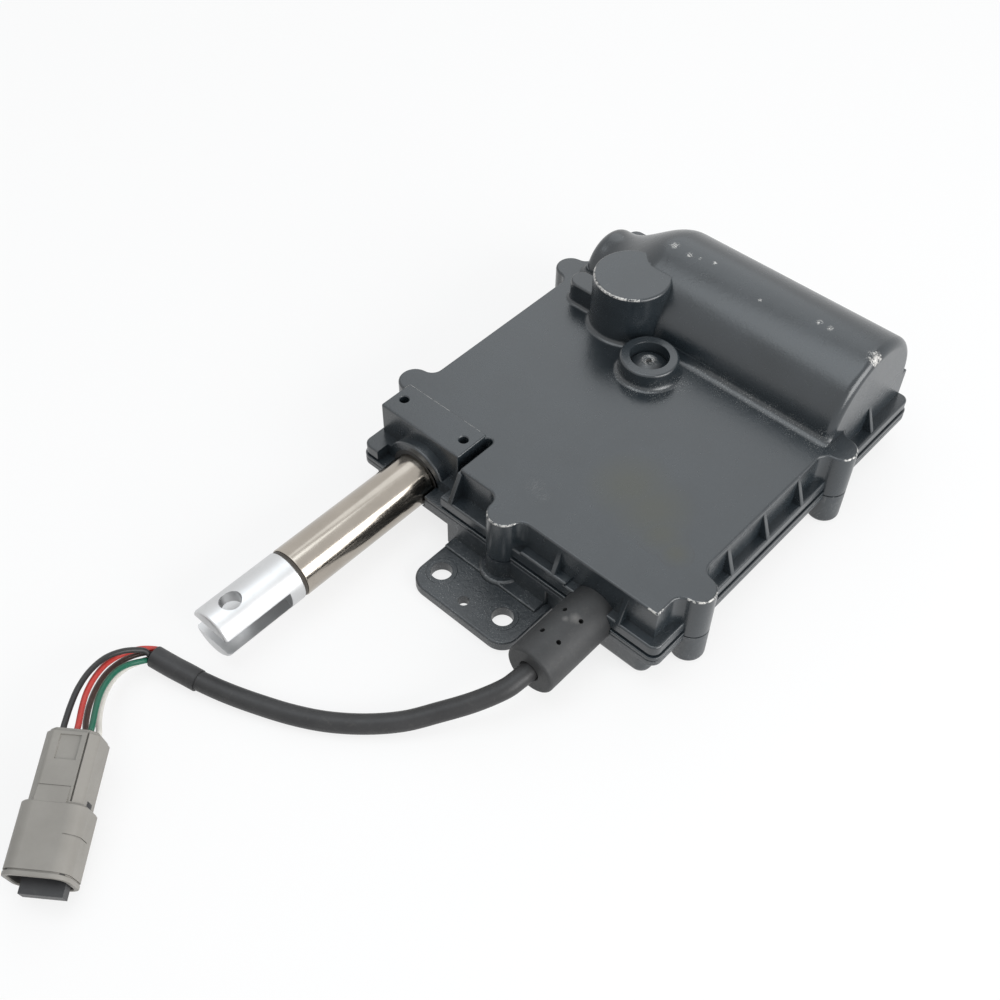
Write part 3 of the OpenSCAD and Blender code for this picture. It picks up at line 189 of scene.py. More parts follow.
class Bench:
    """The modelling steps that all the pieces share."""

    @staticmethod
    def clear() -> None:
        """Go back to object mode with nothing selected."""
        if bpy.context.mode != "OBJECT":
            bpy.ops.object.mode_set(mode="OBJECT")
        bpy.ops.object.select_all(action="DESELECT")

    @staticmethod
    def take(piece: Piece) -> None:
        """Select one piece alone and make it active."""
        Bench.clear()
        piece.select_set(True)
        bpy.context.view_layer.objects.active = piece

    @staticmethod
    def edit(piece: Piece, *steps: Callable[[], object]) -> Piece:
        """Run operators on all of a piece in edit mode.

        Args:
            piece: The piece.
            steps: Calls that run one operator each.

        Returns:
            The piece, in object mode.
        """
        Bench.take(piece)
        bpy.ops.object.mode_set(mode="EDIT")
        bpy.ops.mesh.select_all(action="SELECT")
        for step in steps:
            step()
        bpy.ops.object.mode_set(mode="OBJECT")
        return piece

    @staticmethod
    def quarter(steps: int) -> list[Plan]:
        """Give 1 - sine and 1 - cosine at even steps of a quarter turn."""
        turns = [math.radians(90 * k / steps) for k in range(steps + 1)]
        return [(1 - math.sin(a), 1 - math.cos(a)) for a in turns]

    @staticmethod
    def block(low: Point, high: Point, edge: float = 0.0) -> Piece:
        """Make a box with rounded edges.

        Args:
            low: Lowest corner in millimetres.
            high: Highest corner in millimetres.
            edge: Radius of all its edges.

        Returns:
            The box.
        """
        Bench.clear()
        bpy.ops.mesh.primitive_cube_add(size=1, location=[(a + b) / 2 * MM for a, b in zip(low, high)])
        piece = bpy.context.object
        piece.scale = [(b - a) * MM for a, b in zip(low, high)]
        bpy.ops.object.transform_apply(location=True, rotation=True, scale=True)
        if edge:
            Bench.edit(piece, lambda: bpy.ops.mesh.bevel(offset=edge * MM, segments=3, affect="EDGES"))
        return piece

    @staticmethod
    def bar(start: Point, end: Point, r: float, sides: int = 72) -> Piece:
        """Make a round bar between two points.

        Args:
            start: Middle of one end in millimetres.
            end: Middle of the other end.
            r: Radius.
            sides: Number of flats that make it round.

        Returns:
            The bar.
        """
        Bench.clear()
        a, b = Vector(start) * MM, Vector(end) * MM
        turn = (b - a).to_track_quat("Z", "Y").to_euler()
        bpy.ops.mesh.primitive_cylinder_add(
            vertices=sides, radius=r * MM, depth=(b - a).length, location=(a + b) / 2, rotation=turn
        )
        bpy.ops.object.transform_apply(location=True, rotation=True, scale=True)
        return bpy.context.object

    @staticmethod
    def stack(rings: Sequence[Sequence[Point]]) -> Piece:
        """Extrude a closed outline through a row of rings.

        Args:
            rings: Rings of equal length in millimetres, from the bottom up.

        Returns:
            The closed solid.
        """
        Bench.clear()
        bpy.ops.mesh.primitive_circle_add(vertices=len(rings[0]), fill_type="NGON")
        piece = bpy.context.object
        for vertex, spot in zip(piece.data.vertices, rings[0]):
            vertex.co = Vector(spot) * MM
        for before, ring in zip(rings, rings[1:]):
            places = {tuple(round(c * 1e4) for c in a): b for a, b in zip(before, ring)}
            Bench.take(piece)
            bpy.ops.object.mode_set(mode="EDIT")
            bpy.ops.mesh.select_mode(type="FACE")
            if ring is rings[1]:
                bpy.ops.mesh.select_all(action="SELECT")
            bpy.ops.mesh.extrude_region_move(TRANSFORM_OT_translate={"value": (0, 0, 0)})
            bpy.ops.object.mode_set(mode="OBJECT")
            for vertex in piece.data.vertices:
                if vertex.select:
                    key = tuple(round(c / MM * 1e4) for c in vertex.co)
                    spot = places.get(key) or min(places.items(), key=lambda p: math.dist(p[0], key))[1]
                    vertex.co = Vector(spot) * MM
        return Bench.edit(piece, lambda: bpy.ops.mesh.normals_make_consistent(inside=False))

    @staticmethod
    def layers(outline: Outline, levels: Sequence[Plan]) -> Piece:
        """Extrude a plan outline through levels that each move it out and give its height."""
        return Bench.stack([[(x, y, z) for x, y in outline.moved(out)] for out, z in levels])

    @staticmethod
    def prism(
        outline: Outline, low: float, high: float, top: float = 0.0, foot: float = 0.0, steps: int = 4
    ) -> Piece:
        """Extrude a plan outline upwards, with rounded top and bottom edges.

        Args:
            outline: The plan outline.
            low: Height of its underside.
            high: Height of its top.
            top: Radius of the top edges.
            foot: Radius of the bottom edges.
            steps: Steps in each rounded edge.

        Returns:
            The solid.
        """
        bend = Bench.quarter(steps)
        levels = [(-foot * s, low + foot * c) for s, c in (bend if foot else bend[:1])]
        levels += [(-top * c, high - top * s) for s, c in (bend if top else bend[:1])]
        return Bench.layers(outline, levels)

    @staticmethod
    def skirt(outline: Outline, low: float, r: float) -> Piece:
        """Make a hollow fillet of a given radius round the foot of a form that stands on a flat."""
        levels = [(r, low - 0.5), *[(r * s, low + r * c) for s, c in Bench.quarter(6)]]
        return Bench.layers(outline, levels)

    @staticmethod
    def turned(profile: Sequence[Plan], at: Point, axis: Axis, steps: int = 72) -> Piece:
        """Spin a half section about an axis.

        Args:
            profile: Radius and place along the axis of each point, closed on the axis or on itself.
            at: A point on the axis in millimetres, from which places are counted.
            axis: The axis.
            steps: Number of steps round.

        Returns:
            The turned solid.
        """
        Bench.clear()
        bpy.ops.mesh.primitive_circle_add(vertices=len(profile), fill_type="NOTHING")
        piece = bpy.context.object
        along = Vector(axis.value)
        across = Vector(Axis.X.value if axis is Axis.Z else Axis.Z.value)
        for vertex, (r, place) in zip(piece.data.vertices, profile):
            vertex.co = (Vector(at) + along * place + across * r) * MM
            vertex.select = False
        solid = profile[0][0] < 1e-6 and profile[-1][0] < 1e-6
        for edge in piece.data.edges:
            edge.select = solid and set(edge.vertices) == {0, len(profile) - 1}
        Bench.take(piece)
        bpy.ops.object.mode_set(mode="EDIT")
        bpy.ops.mesh.select_mode(type="EDGE")
        if solid:
            bpy.ops.mesh.delete(type="EDGE_FACE")
        bpy.ops.object.mode_set(mode="OBJECT")
        Bench.edit(
            piece,
            lambda: bpy.ops.mesh.spin(
                steps=steps, angle=math.tau, center=Vector(at) * MM, axis=axis.value, use_auto_merge=True
            ),
            lambda: bpy.ops.mesh.select_all(action="SELECT"),
            lambda: bpy.ops.mesh.remove_doubles(threshold=1e-6),
            lambda: bpy.ops.mesh.normals_make_consistent(inside=False),
            lambda: bpy.ops.mesh.select_mode(type="FACE"),
            lambda: bpy.ops.mesh.select_all(action="DESELECT"),
        )
        for face in piece.data.polygons:
            face.select = abs(face.normal.dot(along)) > 0.99999
        bpy.ops.object.mode_set(mode="EDIT")
        bpy.ops.mesh.dissolve_limited(angle_limit=math.radians(0.3))
        bpy.ops.object.mode_set(mode="OBJECT")
        return piece

    @staticmethod
    def combine(piece: Piece, how: Cut, tools: Iterable[Piece]) -> Piece:
        """Add, take away or keep solids, one after another.

        Args:
            piece: The solid that stays.
            how: What each tool does to it.
            tools: The solids that are used up.

        Returns:
            The changed solid.
        """
        for tool in tools:
            step = piece.modifiers.new("combine", "BOOLEAN")
            step.object = tool
            step.operation = how.value
            step.solver = "MANIFOLD"
            Bench.take(piece)
            bpy.ops.object.modifier_apply(modifier="combine")
            bpy.data.objects.remove(tool)
        return piece

    @staticmethod
    def tip(r: float, end: float, edge: float, steps: int = 5) -> list[Plan]:
        """Give the half section of a rounded outer edge, with edge below zero where the end faces back."""
        return [(r - abs(edge) * c, end - edge * s) for s, c in Bench.quarter(steps)]

    @staticmethod
    def peg(at: Point, axis: Axis, span: Plan, r: float, edge: float, steps: int = 5) -> Piece:
        """Turn a peg with one rounded end.

        Args:
            at: A point on its axis in millimetres, from which places are counted.
            axis: Its axis.
            span: Places of its flat end and its rounded end.
            r: Its radius.
            edge: Radius of the rounded edge, below zero where that end faces back.
            steps: Steps in the rounded edge.

        Returns:
            The peg.
        """
        start, end = span
        rows = [(0.0, start), (r, start), *Bench.tip(r, end, edge, steps), (0.0, end)]
        return Bench.turned(rows, at, axis)

    @staticmethod
    def finish(piece: Piece, name: str, material: Finish, angle: float = 38) -> Piece:
        """Name, shade and dress a finished piece.

        Args:
            piece: The piece.
            name: Its name.
            material: Its material.
            angle: Edges sharper than this stay crisp, in degrees.

        Returns:
            The piece.
        """
        Bench.take(piece)
        piece.name = name
        piece.data.name = name
        bpy.ops.object.shade_smooth_by_angle(angle=math.radians(angle))
        step = piece.modifiers.new("even", "WEIGHTED_NORMAL")
        step.keep_sharp = True
        step.weight = 100
        bpy.ops.object.modifier_apply(modifier="even")
        piece.data.materials.clear()
        piece.data.materials.append(material)
        log.info("%s: %d faces", name, len(piece.data.polygons))
        return piece

    @staticmethod
    def keep(piece: Piece, body: str, node: str, slot: str) -> Piece:
        """Let a piece ride on a body in a node's place.

        Args:
            piece: The piece.
            body: The body that carries it.
            node: The solid that it stands for.
            slot: Not used.

        Returns:
            The piece.
        """
        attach(piece, body)
        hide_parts(node)
        return piece


class Graph:
    """The node tree of a material or of the world, filled step by step."""

    def __init__(
        self, owner: Finish | bpy.types.World, shader: str = "BsdfPrincipled", out: str = "OutputMaterial"
    ) -> None:
        """Start a tree with one shader and its output.

        Args:
            owner: The material or world.
            shader: Kind of its shader.
            out: Kind of its output.
        """
        self.owner = owner
        owner.use_nodes = True
        self.tree = owner.node_tree
        self.tree.nodes.clear()
        self.out = self.add(out)
        self.shader = self.add(shader)
        self.put(self.out.inputs[0], self.shader.outputs[0])
        self.place = self.add("TexCoord").outputs["Object"]

    def add(self, kind: str, *values: object, **settings: object) -> bpy.types.Node:
        """Add a node.

        Args:
            kind: Its kind, without Blender's prefix.
            values: Numbers or sockets for its inputs, in their order.
            settings: Its other settings.

        Returns:
            The node.
        """
        node = self.tree.nodes.new(f"ShaderNode{kind}")
        for name, value in settings.items():
            setattr(node, name, value)
        for socket, value in zip(node.inputs, values):
            self.put(socket, value)
        return node

    def put(self, socket: Socket, value: object) -> None:
        """Link a socket to another one, or set its constant.

        Args:
            socket: The socket.
            value: The other socket, or the constant.
        """
        if isinstance(value, Socket):
            self.tree.links.new(value, socket)
        else:
            socket.default_value = value

    def shade(self, **values: object) -> None:
        """Set or link the shader's sockets, named with underscores for spaces."""
        for name, value in values.items():
            self.put(self.shader.inputs[name.replace("_", " ")], value)

    def math(self, how: str, a: object, b: object = 0.0, c: object = 0.0) -> Socket:
        """Work out a sum on numbers or sockets."""
        return self.add("Math", a, b, c, operation=how).outputs[0]

    def span(
        self, value: object, low: float, high: float, at_low: float = 0.0, at_high: float = 1.0
    ) -> Socket:
        """Spread a number from one range to another, held at both ends."""
        return self.add("MapRange", value, low, high, at_low, at_high, clamp=True).outputs[0]

    def noise(
        self,
        scale: float,
        detail: float = 3.0,
        rough: float = 0.55,
        stretch: Point = (1, 1, 1),
        warp: float = 0.0,
    ) -> Socket:
        """Add a noise pattern.

        Args:
            scale: Patches per metre.
            detail: Number of finer layers.
            rough: Strength of the finer layers.
            stretch: Scale along each axis.
            warp: Distortion of the pattern.

        Returns:
            The pattern's socket, about 0 to 1.
        """
        where = self.place
        if tuple(stretch) != (1, 1, 1):
            turn = self.add("Mapping", self.place)
            turn.inputs["Scale"].default_value = stretch
            where = turn.outputs[0]
        node = self.add("TexNoise", where)
        names = ("Scale", "Detail", "Roughness", "Distortion")
        for name, value in zip(names, (scale, detail, rough, warp)):
            node.inputs[name].default_value = value
        return node.outputs["Fac"]

    def blend(self, share: object, a: object, b: object) -> Socket:
        """Mix two colours.

        Args:
            share: Share of the second colour.
            a: First colour.
            b: Second colour.

        Returns:
            The colour's socket.
        """
        node = self.add("Mix", data_type="RGBA")
        for socket, value in zip((node.inputs[0], node.inputs[6], node.inputs[7]), (share, a, b)):
            self.put(socket, (*value, 1.0) if isinstance(value, tuple) else value)
        return node.outputs[2]

    def tint(self, colour: object, mask: Socket, strength: float, other: Colour) -> Socket:
        """Mix another colour in where a mask is 1, at a given strength."""
        return self.blend(self.math("MULTIPLY", mask, strength), colour, other)

    def bump(self, height: Socket, depth: float) -> None:
        """Give the surface a relief.

        Args:
            height: The relief's pattern.
            depth: Its depth in millimetres.
        """
        node = self.add("Bump")
        for name, value in (("Strength", 1.0), ("Distance", depth * MM), ("Height", height)):
            self.put(node.inputs[name], value)
        self.shade(Normal=node.outputs[0])

    def near(
        self, spots: Sequence[Spot], ragged: float = 0.6, scale: float = 420, fade: float = 0.1
    ) -> Socket:
        """Mark ragged patches round given points.

        Args:
            spots: Place and width of each patch in millimetres.
            ragged: How far the patches' edges wander, as a share of their width.
            scale: Fineness of the wandering, in patches per metre.
            fade: Share of the patches' radius over which they fade.

        Returns:
            A socket that is 1 in the patches.
        """
        wander = self.math("MULTIPLY_ADD", self.noise(scale, 4, 0.7), 2 * ragged, 1 - ragged)
        found: object = 0.0
        for x, y, z, width in spots:
            gap = self.add("VectorMath", self.place, (x * MM, y * MM, z * MM), operation="DISTANCE")
            worn = self.math("MULTIPLY", gap.outputs["Value"], wander)
            patch = self.span(worn, width * 0.55 * MM, width * 0.55 * (1 - fade) * MM)
            found = self.math("MAXIMUM", found, patch) if isinstance(found, Socket) else patch
        return found

    def seen(self) -> Socket:
        """Tell the rays that show a surface to the camera, in a mirror or through glass.

        Returns:
            A socket that is 1 for them.
        """
        rays = self.add("LightPath").outputs
        shown = self.math("MAXIMUM", rays["Is Camera Ray"], rays["Is Glossy Ray"])
        return self.math("MAXIMUM", shown, rays["Is Transmission Ray"])


@dataclass(frozen=True)
class CastPaint:
    """Glossy black paint on a casting, worn to bare metal in places."""

    name: str
    dark: Colour = (0.0125, 0.0175, 0.0215)
    pale: Colour = (0.022, 0.0285, 0.034)
    bare: Colour = (0.58, 0.57, 0.55)
    tarnish: Colour = (0.42, 0.41, 0.39)
    dust: Colour = (0.165, 0.165, 0.16)
    scratch: Colour = (0.16, 0.16, 0.16)
    speck: Colour = (0.42, 0.43, 0.43)
    sand: Colour = (0.36, 0.36, 0.35)
    oil: Colour = (0.024, 0.026, 0.014)
    oil_edge: Colour = (0.010, 0.008, 0.006)
    rubbed: Colour = (0.20, 0.20, 0.195)
    grain: float = 0.04
    rough: Plan = (0.20, 0.30)
    speckle: float = 0.0
    chips: tuple[Spot, ...] = ()
    # rims: rubbed edges shown as bare metal, partly real wear and partly a painted highlight
    rims: tuple[Spot, ...] = ()
    grit: tuple[Spot, ...] = ()
    scuffs: tuple[Spot, ...] = ()
    stain: tuple[Spot, ...] = ()

    def worn(self, g: Graph) -> Socket:
        """Mark the bare places: small chips, and rubbed rims where the surface turns over an edge; the rims
        are partly real wear and partly a painted highlight on rounded edges.

        Args:
            g: The paint's node tree.

        Returns:
            A socket that is 1 on the chips and on the rims, which are partly a painted highlight.
        """
        streaks = g.span(g.noise(1000, 4, 0.65, stretch=(2.4, 0.7, 1), warp=0.3), 0.50, 0.56)
        chips = g.math("MULTIPLY", g.near(self.chips, 0.95, 2600, 0.5), streaks)
        turn = g.add("SeparateXYZ", g.add("TexCoord").outputs["Normal"]).outputs[2]
        edge = g.math("MULTIPLY", g.span(turn, 0.15, 0.4), g.span(turn, 0.97, 0.85))
        # Rims: bare metal on rounded edges, partly real wear and partly a painted highlight.
        rims = g.math("MULTIPLY", g.near(self.rims, 0.3), edge)
        rims = g.math("MULTIPLY", rims, g.span(g.noise(800, 4, 0.75), 0.44, 0.52))
        return g.math("MAXIMUM", chips, rims)

    def soiled(self, g: Graph, colour: Socket) -> Socket:
        """Lay specks, sand, the oil stain and scuffs over the paint.

        Args:
            g: The paint's node tree.
            colour: The clean paint's colour.

        Returns:
            The soiled colour.
        """
        if self.speckle:
            dots = g.span(g.noise(2000, 2, 0.5), 0.60, 0.68)
            dots = g.math("MULTIPLY", dots, g.span(g.noise(150, 3, 0.6), 0.42, 0.62))
            colour = g.tint(colour, dots, self.speckle, self.speck)
        if self.grit:
            grains = g.span(g.noise(1700, 3, 0.6), 0.56, 0.66)
            grains = g.math("MULTIPLY", g.near(self.grit, 0.6, 420, 0.5), grains)
            colour = g.tint(colour, grains, 0.4, self.sand)
        if self.stain:
            patch, soft = (g.near(self.stain, 0.12, 60, fade) for fade in (0.1, 0.8))
            wider = g.near([(*spot[:3], spot[3] + 0.8) for spot in self.stain], 0.12, 60)
            tip = g.near([(*self.stain[0][:3], 2.2 * self.stain[0][3])], 0.2)
            edge = g.math("SUBTRACT", wider, patch)
            line = g.math("MULTIPLY", edge, g.math("MULTIPLY_ADD", tip, 0.5, 0.04))
            colour = g.blend(line, g.tint(colour, soft, 0.8, self.oil), self.oil_edge)
        if self.scuffs:
            lines = g.span(g.noise(700, 5, 0.8, stretch=(0.6, 2, 1)), 0.48, 0.62)
            marks = g.math("MULTIPLY", g.near(self.scuffs, 0.8, 900, 0.8), lines)
            colour = g.tint(colour, marks, 0.25, self.rubbed)
        return colour

    def material(self) -> Finish:
        """Build the paint's nodes.

        Returns:
            The material.
        """
        g = Graph(bpy.data.materials.new(self.name))
        cloud = g.noise(38, 5, 0.6)
        dust = g.span(g.noise(260, 6, 0.75, warp=0.6), 0.60, 0.78)
        scratch = g.span(g.noise(130, 5, 0.8, stretch=(0.5, 6, 1)), 0.66, 0.72)
        colour = g.blend(g.span(cloud, 0.3, 0.7), self.dark, self.pale)
        colour = g.tint(colour, dust, 0.10, self.dust)
        colour = self.soiled(g, g.tint(colour, scratch, 0.14, self.scratch))
        rough = g.math("MULTIPLY_ADD", dust, 0.14, g.span(cloud, 0.25, 0.75, *self.rough))
        if self.chips:
            # Bare metal on chips and rims; on the rims it is partly a painted highlight.
            worn = self.worn(g)
            colour = g.blend(worn, colour, g.blend(g.noise(900, 3), self.bare, self.tarnish))
            rough = g.math("MULTIPLY_ADD", worn, 0.1, rough)
            g.shade(Metallic=g.math("MULTIPLY", worn, 0.4))
        g.shade(Base_Color=colour, Roughness=rough, Specular_IOR_Level=0.75)
        g.bump(g.math("MULTIPLY_ADD", g.noise(420, 4, 0.6), 1.2, g.noise(1500, 3, 0.6)), self.grain)
        return g.owner


@dataclass(frozen=True)
class Metal:
    """Bare, ground or plated metal, with the marks that its making leaves."""

    name: str
    pale: Colour
    dark: Colour
    rough: Plan
    lines: Point = (1, 1, 1)
    scale: float = 600.0
    relief: float = 0.006
    spots: float = 0.15
    tarnish: Colour = (0.10, 0.095, 0.085)

    def material(self) -> Finish:
        """Build the metal's nodes.

        Returns:
            The material.
        """
        g = Graph(bpy.data.materials.new(self.name))
        lines = g.noise(self.scale, 4, 0.6, stretch=self.lines)
        dull = g.span(g.noise(210, 6, 0.75, warp=0.4), 0.58, 0.75)
        colour = g.blend(g.span(g.noise(60, 4, 0.6), 0.3, 0.7), self.pale, self.dark)
        rough = g.math("MULTIPLY_ADD", dull, 0.15, g.span(lines, 0.3, 0.7, *self.rough))
        g.shade(Base_Color=g.tint(colour, dull, self.spots, self.tarnish), Roughness=rough, Metallic=1.0)
        g.bump(lines, self.relief)
        return g.owner


@dataclass(frozen=True)
class Moulding:
    """Moulded plastic, rubber or wire insulation."""

    name: str
    pale: Colour
    dark: Colour
    rough: Plan
    relief: float = 0.02
    scale: float = 1400.0
    dust: float = 0.12
    dirt: Colour = (0.22, 0.21, 0.19)
    smudge: Colour = (0.26, 0.25, 0.24)
    smudges: tuple[Spot, ...] = ()

    def material(self) -> Finish:
        """Build the moulding's nodes.

        Returns:
            The material.
        """
        g = Graph(bpy.data.materials.new(self.name))
        fine = g.noise(self.scale, 3, 0.6)
        dust = g.span(g.noise(240, 6, 0.75, warp=0.5), 0.55, 0.76)
        colour = g.blend(g.span(g.noise(55, 4, 0.6), 0.3, 0.7), self.pale, self.dark)
        colour = g.tint(colour, dust, self.dust, self.dirt)
        if self.smudges:
            colour = g.tint(colour, g.near(self.smudges, 0.5, 700, 0.9), 0.35, self.smudge)
        rough = g.math("MULTIPLY_ADD", dust, 0.1, g.span(fine, 0.3, 0.7, *self.rough))
        g.shade(Base_Color=colour, Roughness=rough, Specular_IOR_Level=0.42)
        g.bump(fine, self.relief)
        return g.owner


@dataclass
class Route:
    """A smooth line through given points, in millimetres."""

    points: Sequence[Point]
    steps: int = 8

    def line(self) -> list[Vector]:
        """Walk the line, close enough together to be round.

        Returns:
            Its points in metres.
        """
        rows = [Vector(p) for p in self.points]
        rows = [rows[0] * 2 - rows[1], *rows, rows[-1] * 2 - rows[-2]]
        found: list[Vector] = []
        for a, b, c, d in zip(rows, rows[1:], rows[2:], rows[3:]):
            for k in range(self.steps):
                t = k / self.steps
                bend = (2 * a - 5 * b + 4 * c - d) * t**2 + (3 * b - 3 * c + d - a) * t**3
                found.append((2 * b + (c - a) * t + bend) / 2)
        return [p * MM for p in (*found, rows[-2])]

    def length(self) -> float:
        """Measure the line in metres."""
        line = self.line()
        return sum((b - a).length for a, b in zip(line, line[1:]))

    def cord(self, name: str, r: float, material: Finish) -> Piece:
        """Lay a round cord along the line.

        Args:
            name: The cord's name.
            r: Its radius in millimetres.
            material: Its material.

        Returns:
            A curve of one open spline.
        """
        Bench.clear()
        line = self.line()
        bpy.ops.curve.primitive_nurbs_path_add(location=(0, 0, 0))
        piece = bpy.context.object
        piece.name = piece.data.name = name
        piece.data.splines.clear()
        spline = piece.data.splines.new("POLY")
        spline.points.add(len(line) - 1)
        for point, spot in zip(spline.points, line):
            point.co = (*spot, 1.0)
        spline.use_smooth = True
        piece.data.dimensions = "3D"
        piece.data.bevel_depth = r * MM
        piece.data.bevel_resolution = 6
        piece.data.use_fill_caps = True
        piece.data.materials.append(material)
        log.info("%s: %.1f mm", name, self.length() / MM)
        return piece


@dataclass
class Sizes:
    """The planes and places that several sub-assemblies share, in millimetres."""

    front: float = -20.8
    back: float = -196.8
    side: float = 75.0
    plate: float = 40.0
    split: float = 17.5
    ledge: float = 25.0
    tray_top: float = 16.9
    wall: float = 3.5
    flange_out: float = 5.0
    corner: float = 4.5
    rod_y: float = -53.6
    rod_r: float = 11.1
    mouth: float = -22.8
    bush_back: float = -48.2
    # Start, end and radius of each step of the rod's bore.
    bores: tuple[Point, ...] = ((-48.7, -25.3, 13.6), (-25.8, -22.8, 13.2), (-23.3, -15.3, 11.9))
    collar_r: float = 16.9
    collar_edge: float = 0.9
    cable_y: float = 46.8
    grommet_r: float = 11.1
    grommet_seat: Point = (-29.3, -15.3, 11.2)  # start, end and radius
    screw_r: float = 2.6
    lobe_r: float = 7.2
    lobe_fillet: float = 5.0
    # Place in plan, facing in degrees, and distance of the wall behind the centre on both sides.
    lobes: tuple[tuple[float, float, float, Plan], ...] = (
        (-19.0, 0.0, 0, (4.6, 1.8)),
        (-41.5, 78.6, 90, (3.6, 3.6)),
        (-139.6, 78.6, 90, (3.6, 4.6)),
        (-198.6, 0.0, 180, (-1.5, -1.5)),
        (-152.9, -78.6, -90, (3.6, 3.6)),
        (-48.3, -78.6, -90, (3.6, 3.6)),
    )

    def flange(self, inset: float) -> Outline:
        """Give the flange's outline in plan.

        Args:
            inset: How far it is moved in.

        Returns:
            The outline.
        """
        out = self.flange_out - inset
        low, high = (self.back - out, -self.side - out), (self.front + out, self.side + out)
        return Outline.rounded(low, high, self.corner - inset, 10)

    def rod_cuts(self) -> list[Piece]:
        """Make the bores round the rod and the cable grommet, for cover and tray alike."""
        rows = [*[(self.rod_y, *bore) for bore in self.bores], (self.cable_y, *self.grommet_seat)]
        return [Bench.bar((a, y, self.split), (b, y, self.split), r) for y, a, b, r in rows]

    def collar(self, start: float) -> Piece:
        """Turn the collar round the rod, from a given place to the mouth."""
        at = (0, self.rod_y, self.split)
        return Bench.peg(at, Axis.X, (start, self.mouth), self.collar_r, self.collar_edge)


@dataclass
class Cover:
    """The upper casting: walls, flange, dome over the motor, bosses and bearing block."""

    sizes: Sizes
    paint: Finish
    motor_x: float = -168.8
    dome_r: float = 31.28
    dome_y: Plan = (-40.0, 74.0)  # its ends
    dome_edge: float = 4.0
    neck: Plan = (-31.0, -65.0)  # where the dome begins to narrow, and where it meets the hump
    hump_r: float = 16.2
    hump_end: float = -71.8
    hump_edge: float = 5.0
    hump_wall: float = 2.4
    foot: float = 4.0  # fillet along the dome
    fillet: float = 2.5  # fillet round the bosses
    top_edge: float = 1.0
    tall: Plan = (-141.8, -35.7)
    tall_r: float = 17.5
    tall_h: float = 26.0
    tall_edge: float = 1.3
    tall_bore: Plan = (12.6, 62.5)  # radius and height of its end
    key: Point = (-139.0, -60.7, 5.5)  # place in plan and radius of the tab
    key_h: float = 11.0
    key_fillet: float = 2.0
    cup: Plan = (-121.8, -8.7)
    cup_r: float = 13.0
    cup_h: float = 8.5
    cup_bore: Section = ((0, 42.5), (8.5, 42.5), (8.5, 48.0), (9.0, 48.9), (0, 48.9))
    groove: Plan = (19.1, 20.1)  # heights between which the flange's groove runs
    groove_depth: float = 1.6
    lip: float = 0.7  # how far the flange stands back over the groove
    collar_back: float = -28.0
    rooms: tuple[Box, ...] = (
        ((-260, -120, -40), (60, 120, 17.5)),
        ((-193.3, -71.5, 10), (-48.2, 71.5, 36.5)),
        ((-49.2, -25.2, 10), (-27.1, 71.5, 36.5)),
    )
    step: Box = ((-22.8, -70.5, 19.1), (-15.3, -33, 26.6))
    block: Box = ((-44.7, -78, 15), (-27.3, -33, 40.8))
    block_holes: tuple[Plan, ...] = ((-36.1, -72.8), (-36.1, -38.2))
    block_bore: Section = ((0, 34.8), (2, 34.8), (2, 40.4), (2.6, 41), (0, 41))
    ledge_bar: Box = ((-21.3, 10.5, 24), (-16.4, 34.4, 26.6))
    bar_edge: float = 0.9
    side_ribs: tuple[float, ...] = (-66.0, -90.5, -115.0, -171.0)
    front_ribs: tuple[float, ...] = (-27.9, 27.5, 60.5)
    rib_half: float = 1.05
    rib_root: float = 1.8
    rib_corner: float = 0.5
    rib_tip: Plan = (38.0, 0.28)  # height, and share of the reach left there
    notch: float = 2.8  # how far the front wall stands back left of the middle lobe

    def walls(self) -> Outline:
        """Walk the cover's walls in plan, with the screw lobes, the notch and the dome's back.

        Returns:
            The outline.
        """
        s = self.sizes
        front, right, dome_right, back, left, block = [(*lobe, s.lobe_r, s.lobe_fillet) for lobe in s.lobes]
        dome_back = self.motor_x - self.dome_r
        way = Outline().to(s.front, s.side - 1).to(s.front - 0.3, s.side - 0.3).to(s.front - 1, s.side)
        way.lobe(*right).lobe(*dome_right).to(dome_back, self.dome_y[1]).lobe(*back)
        way.to(dome_back, self.dome_y[0]).to(s.back, self.dome_y[0])
        way.arc(s.back + s.corner, s.corner - s.side, s.corner, 180, 270, 10).lobe(*left).lobe(*block)
        way.to(-30, -s.side).to(-30, -45).to(-42.55, -45).to(-42.55, -33)
        way.arc(-42.55, -30.85, 2.15, 270, 90).to(-24.6, -28.7).to(-23.9, -28.4).to(-23.6, -27.7)
        return way.lobe(*front)

    def dome_profile(self) -> list[Plan]:
        """Give the half section of dome, neck and worm hump about the motor's axis.

        Returns:
            Radius and place along the axis, from the dome's flat end.
        """
        big, small, end = self.dome_r, self.hump_r, self.dome_y[1]
        start, stop = self.neck
        edge = end - self.dome_edge
        rows = [(0.0, end), *reversed(Bench.tip(big, end, self.dome_edge, 8))]
        rows += [(big, edge - (edge - start) * k / 20) for k in range(1, 20)]
        for k in range(25):
            share = 0.5 + 0.5 * math.cos(math.pi * k / 24)
            rows.append((small + (big - small) * share, start + (stop - start) * k / 24))
        return [*rows, *Bench.tip(small, self.hump_end, -self.hump_edge, 8), (0.0, self.hump_end)]

    def dome_room(self) -> Piece:
        """Turn the room for motor and worm under dome and hump.

        Returns:
            The solid to take away.
        """
        wall, big, small = self.sizes.wall, self.dome_r - self.sizes.wall, self.hump_r - self.hump_wall
        end, inner, last = self.dome_y[1] - wall, self.dome_y[0] + wall, self.hump_end + self.hump_wall
        rows = [(0, end), (big, end), (big, inner), (small, inner), (small, last), (0, last)]
        return Bench.turned(rows, (self.motor_x, 0, self.sizes.plate), Axis.Y, 96)

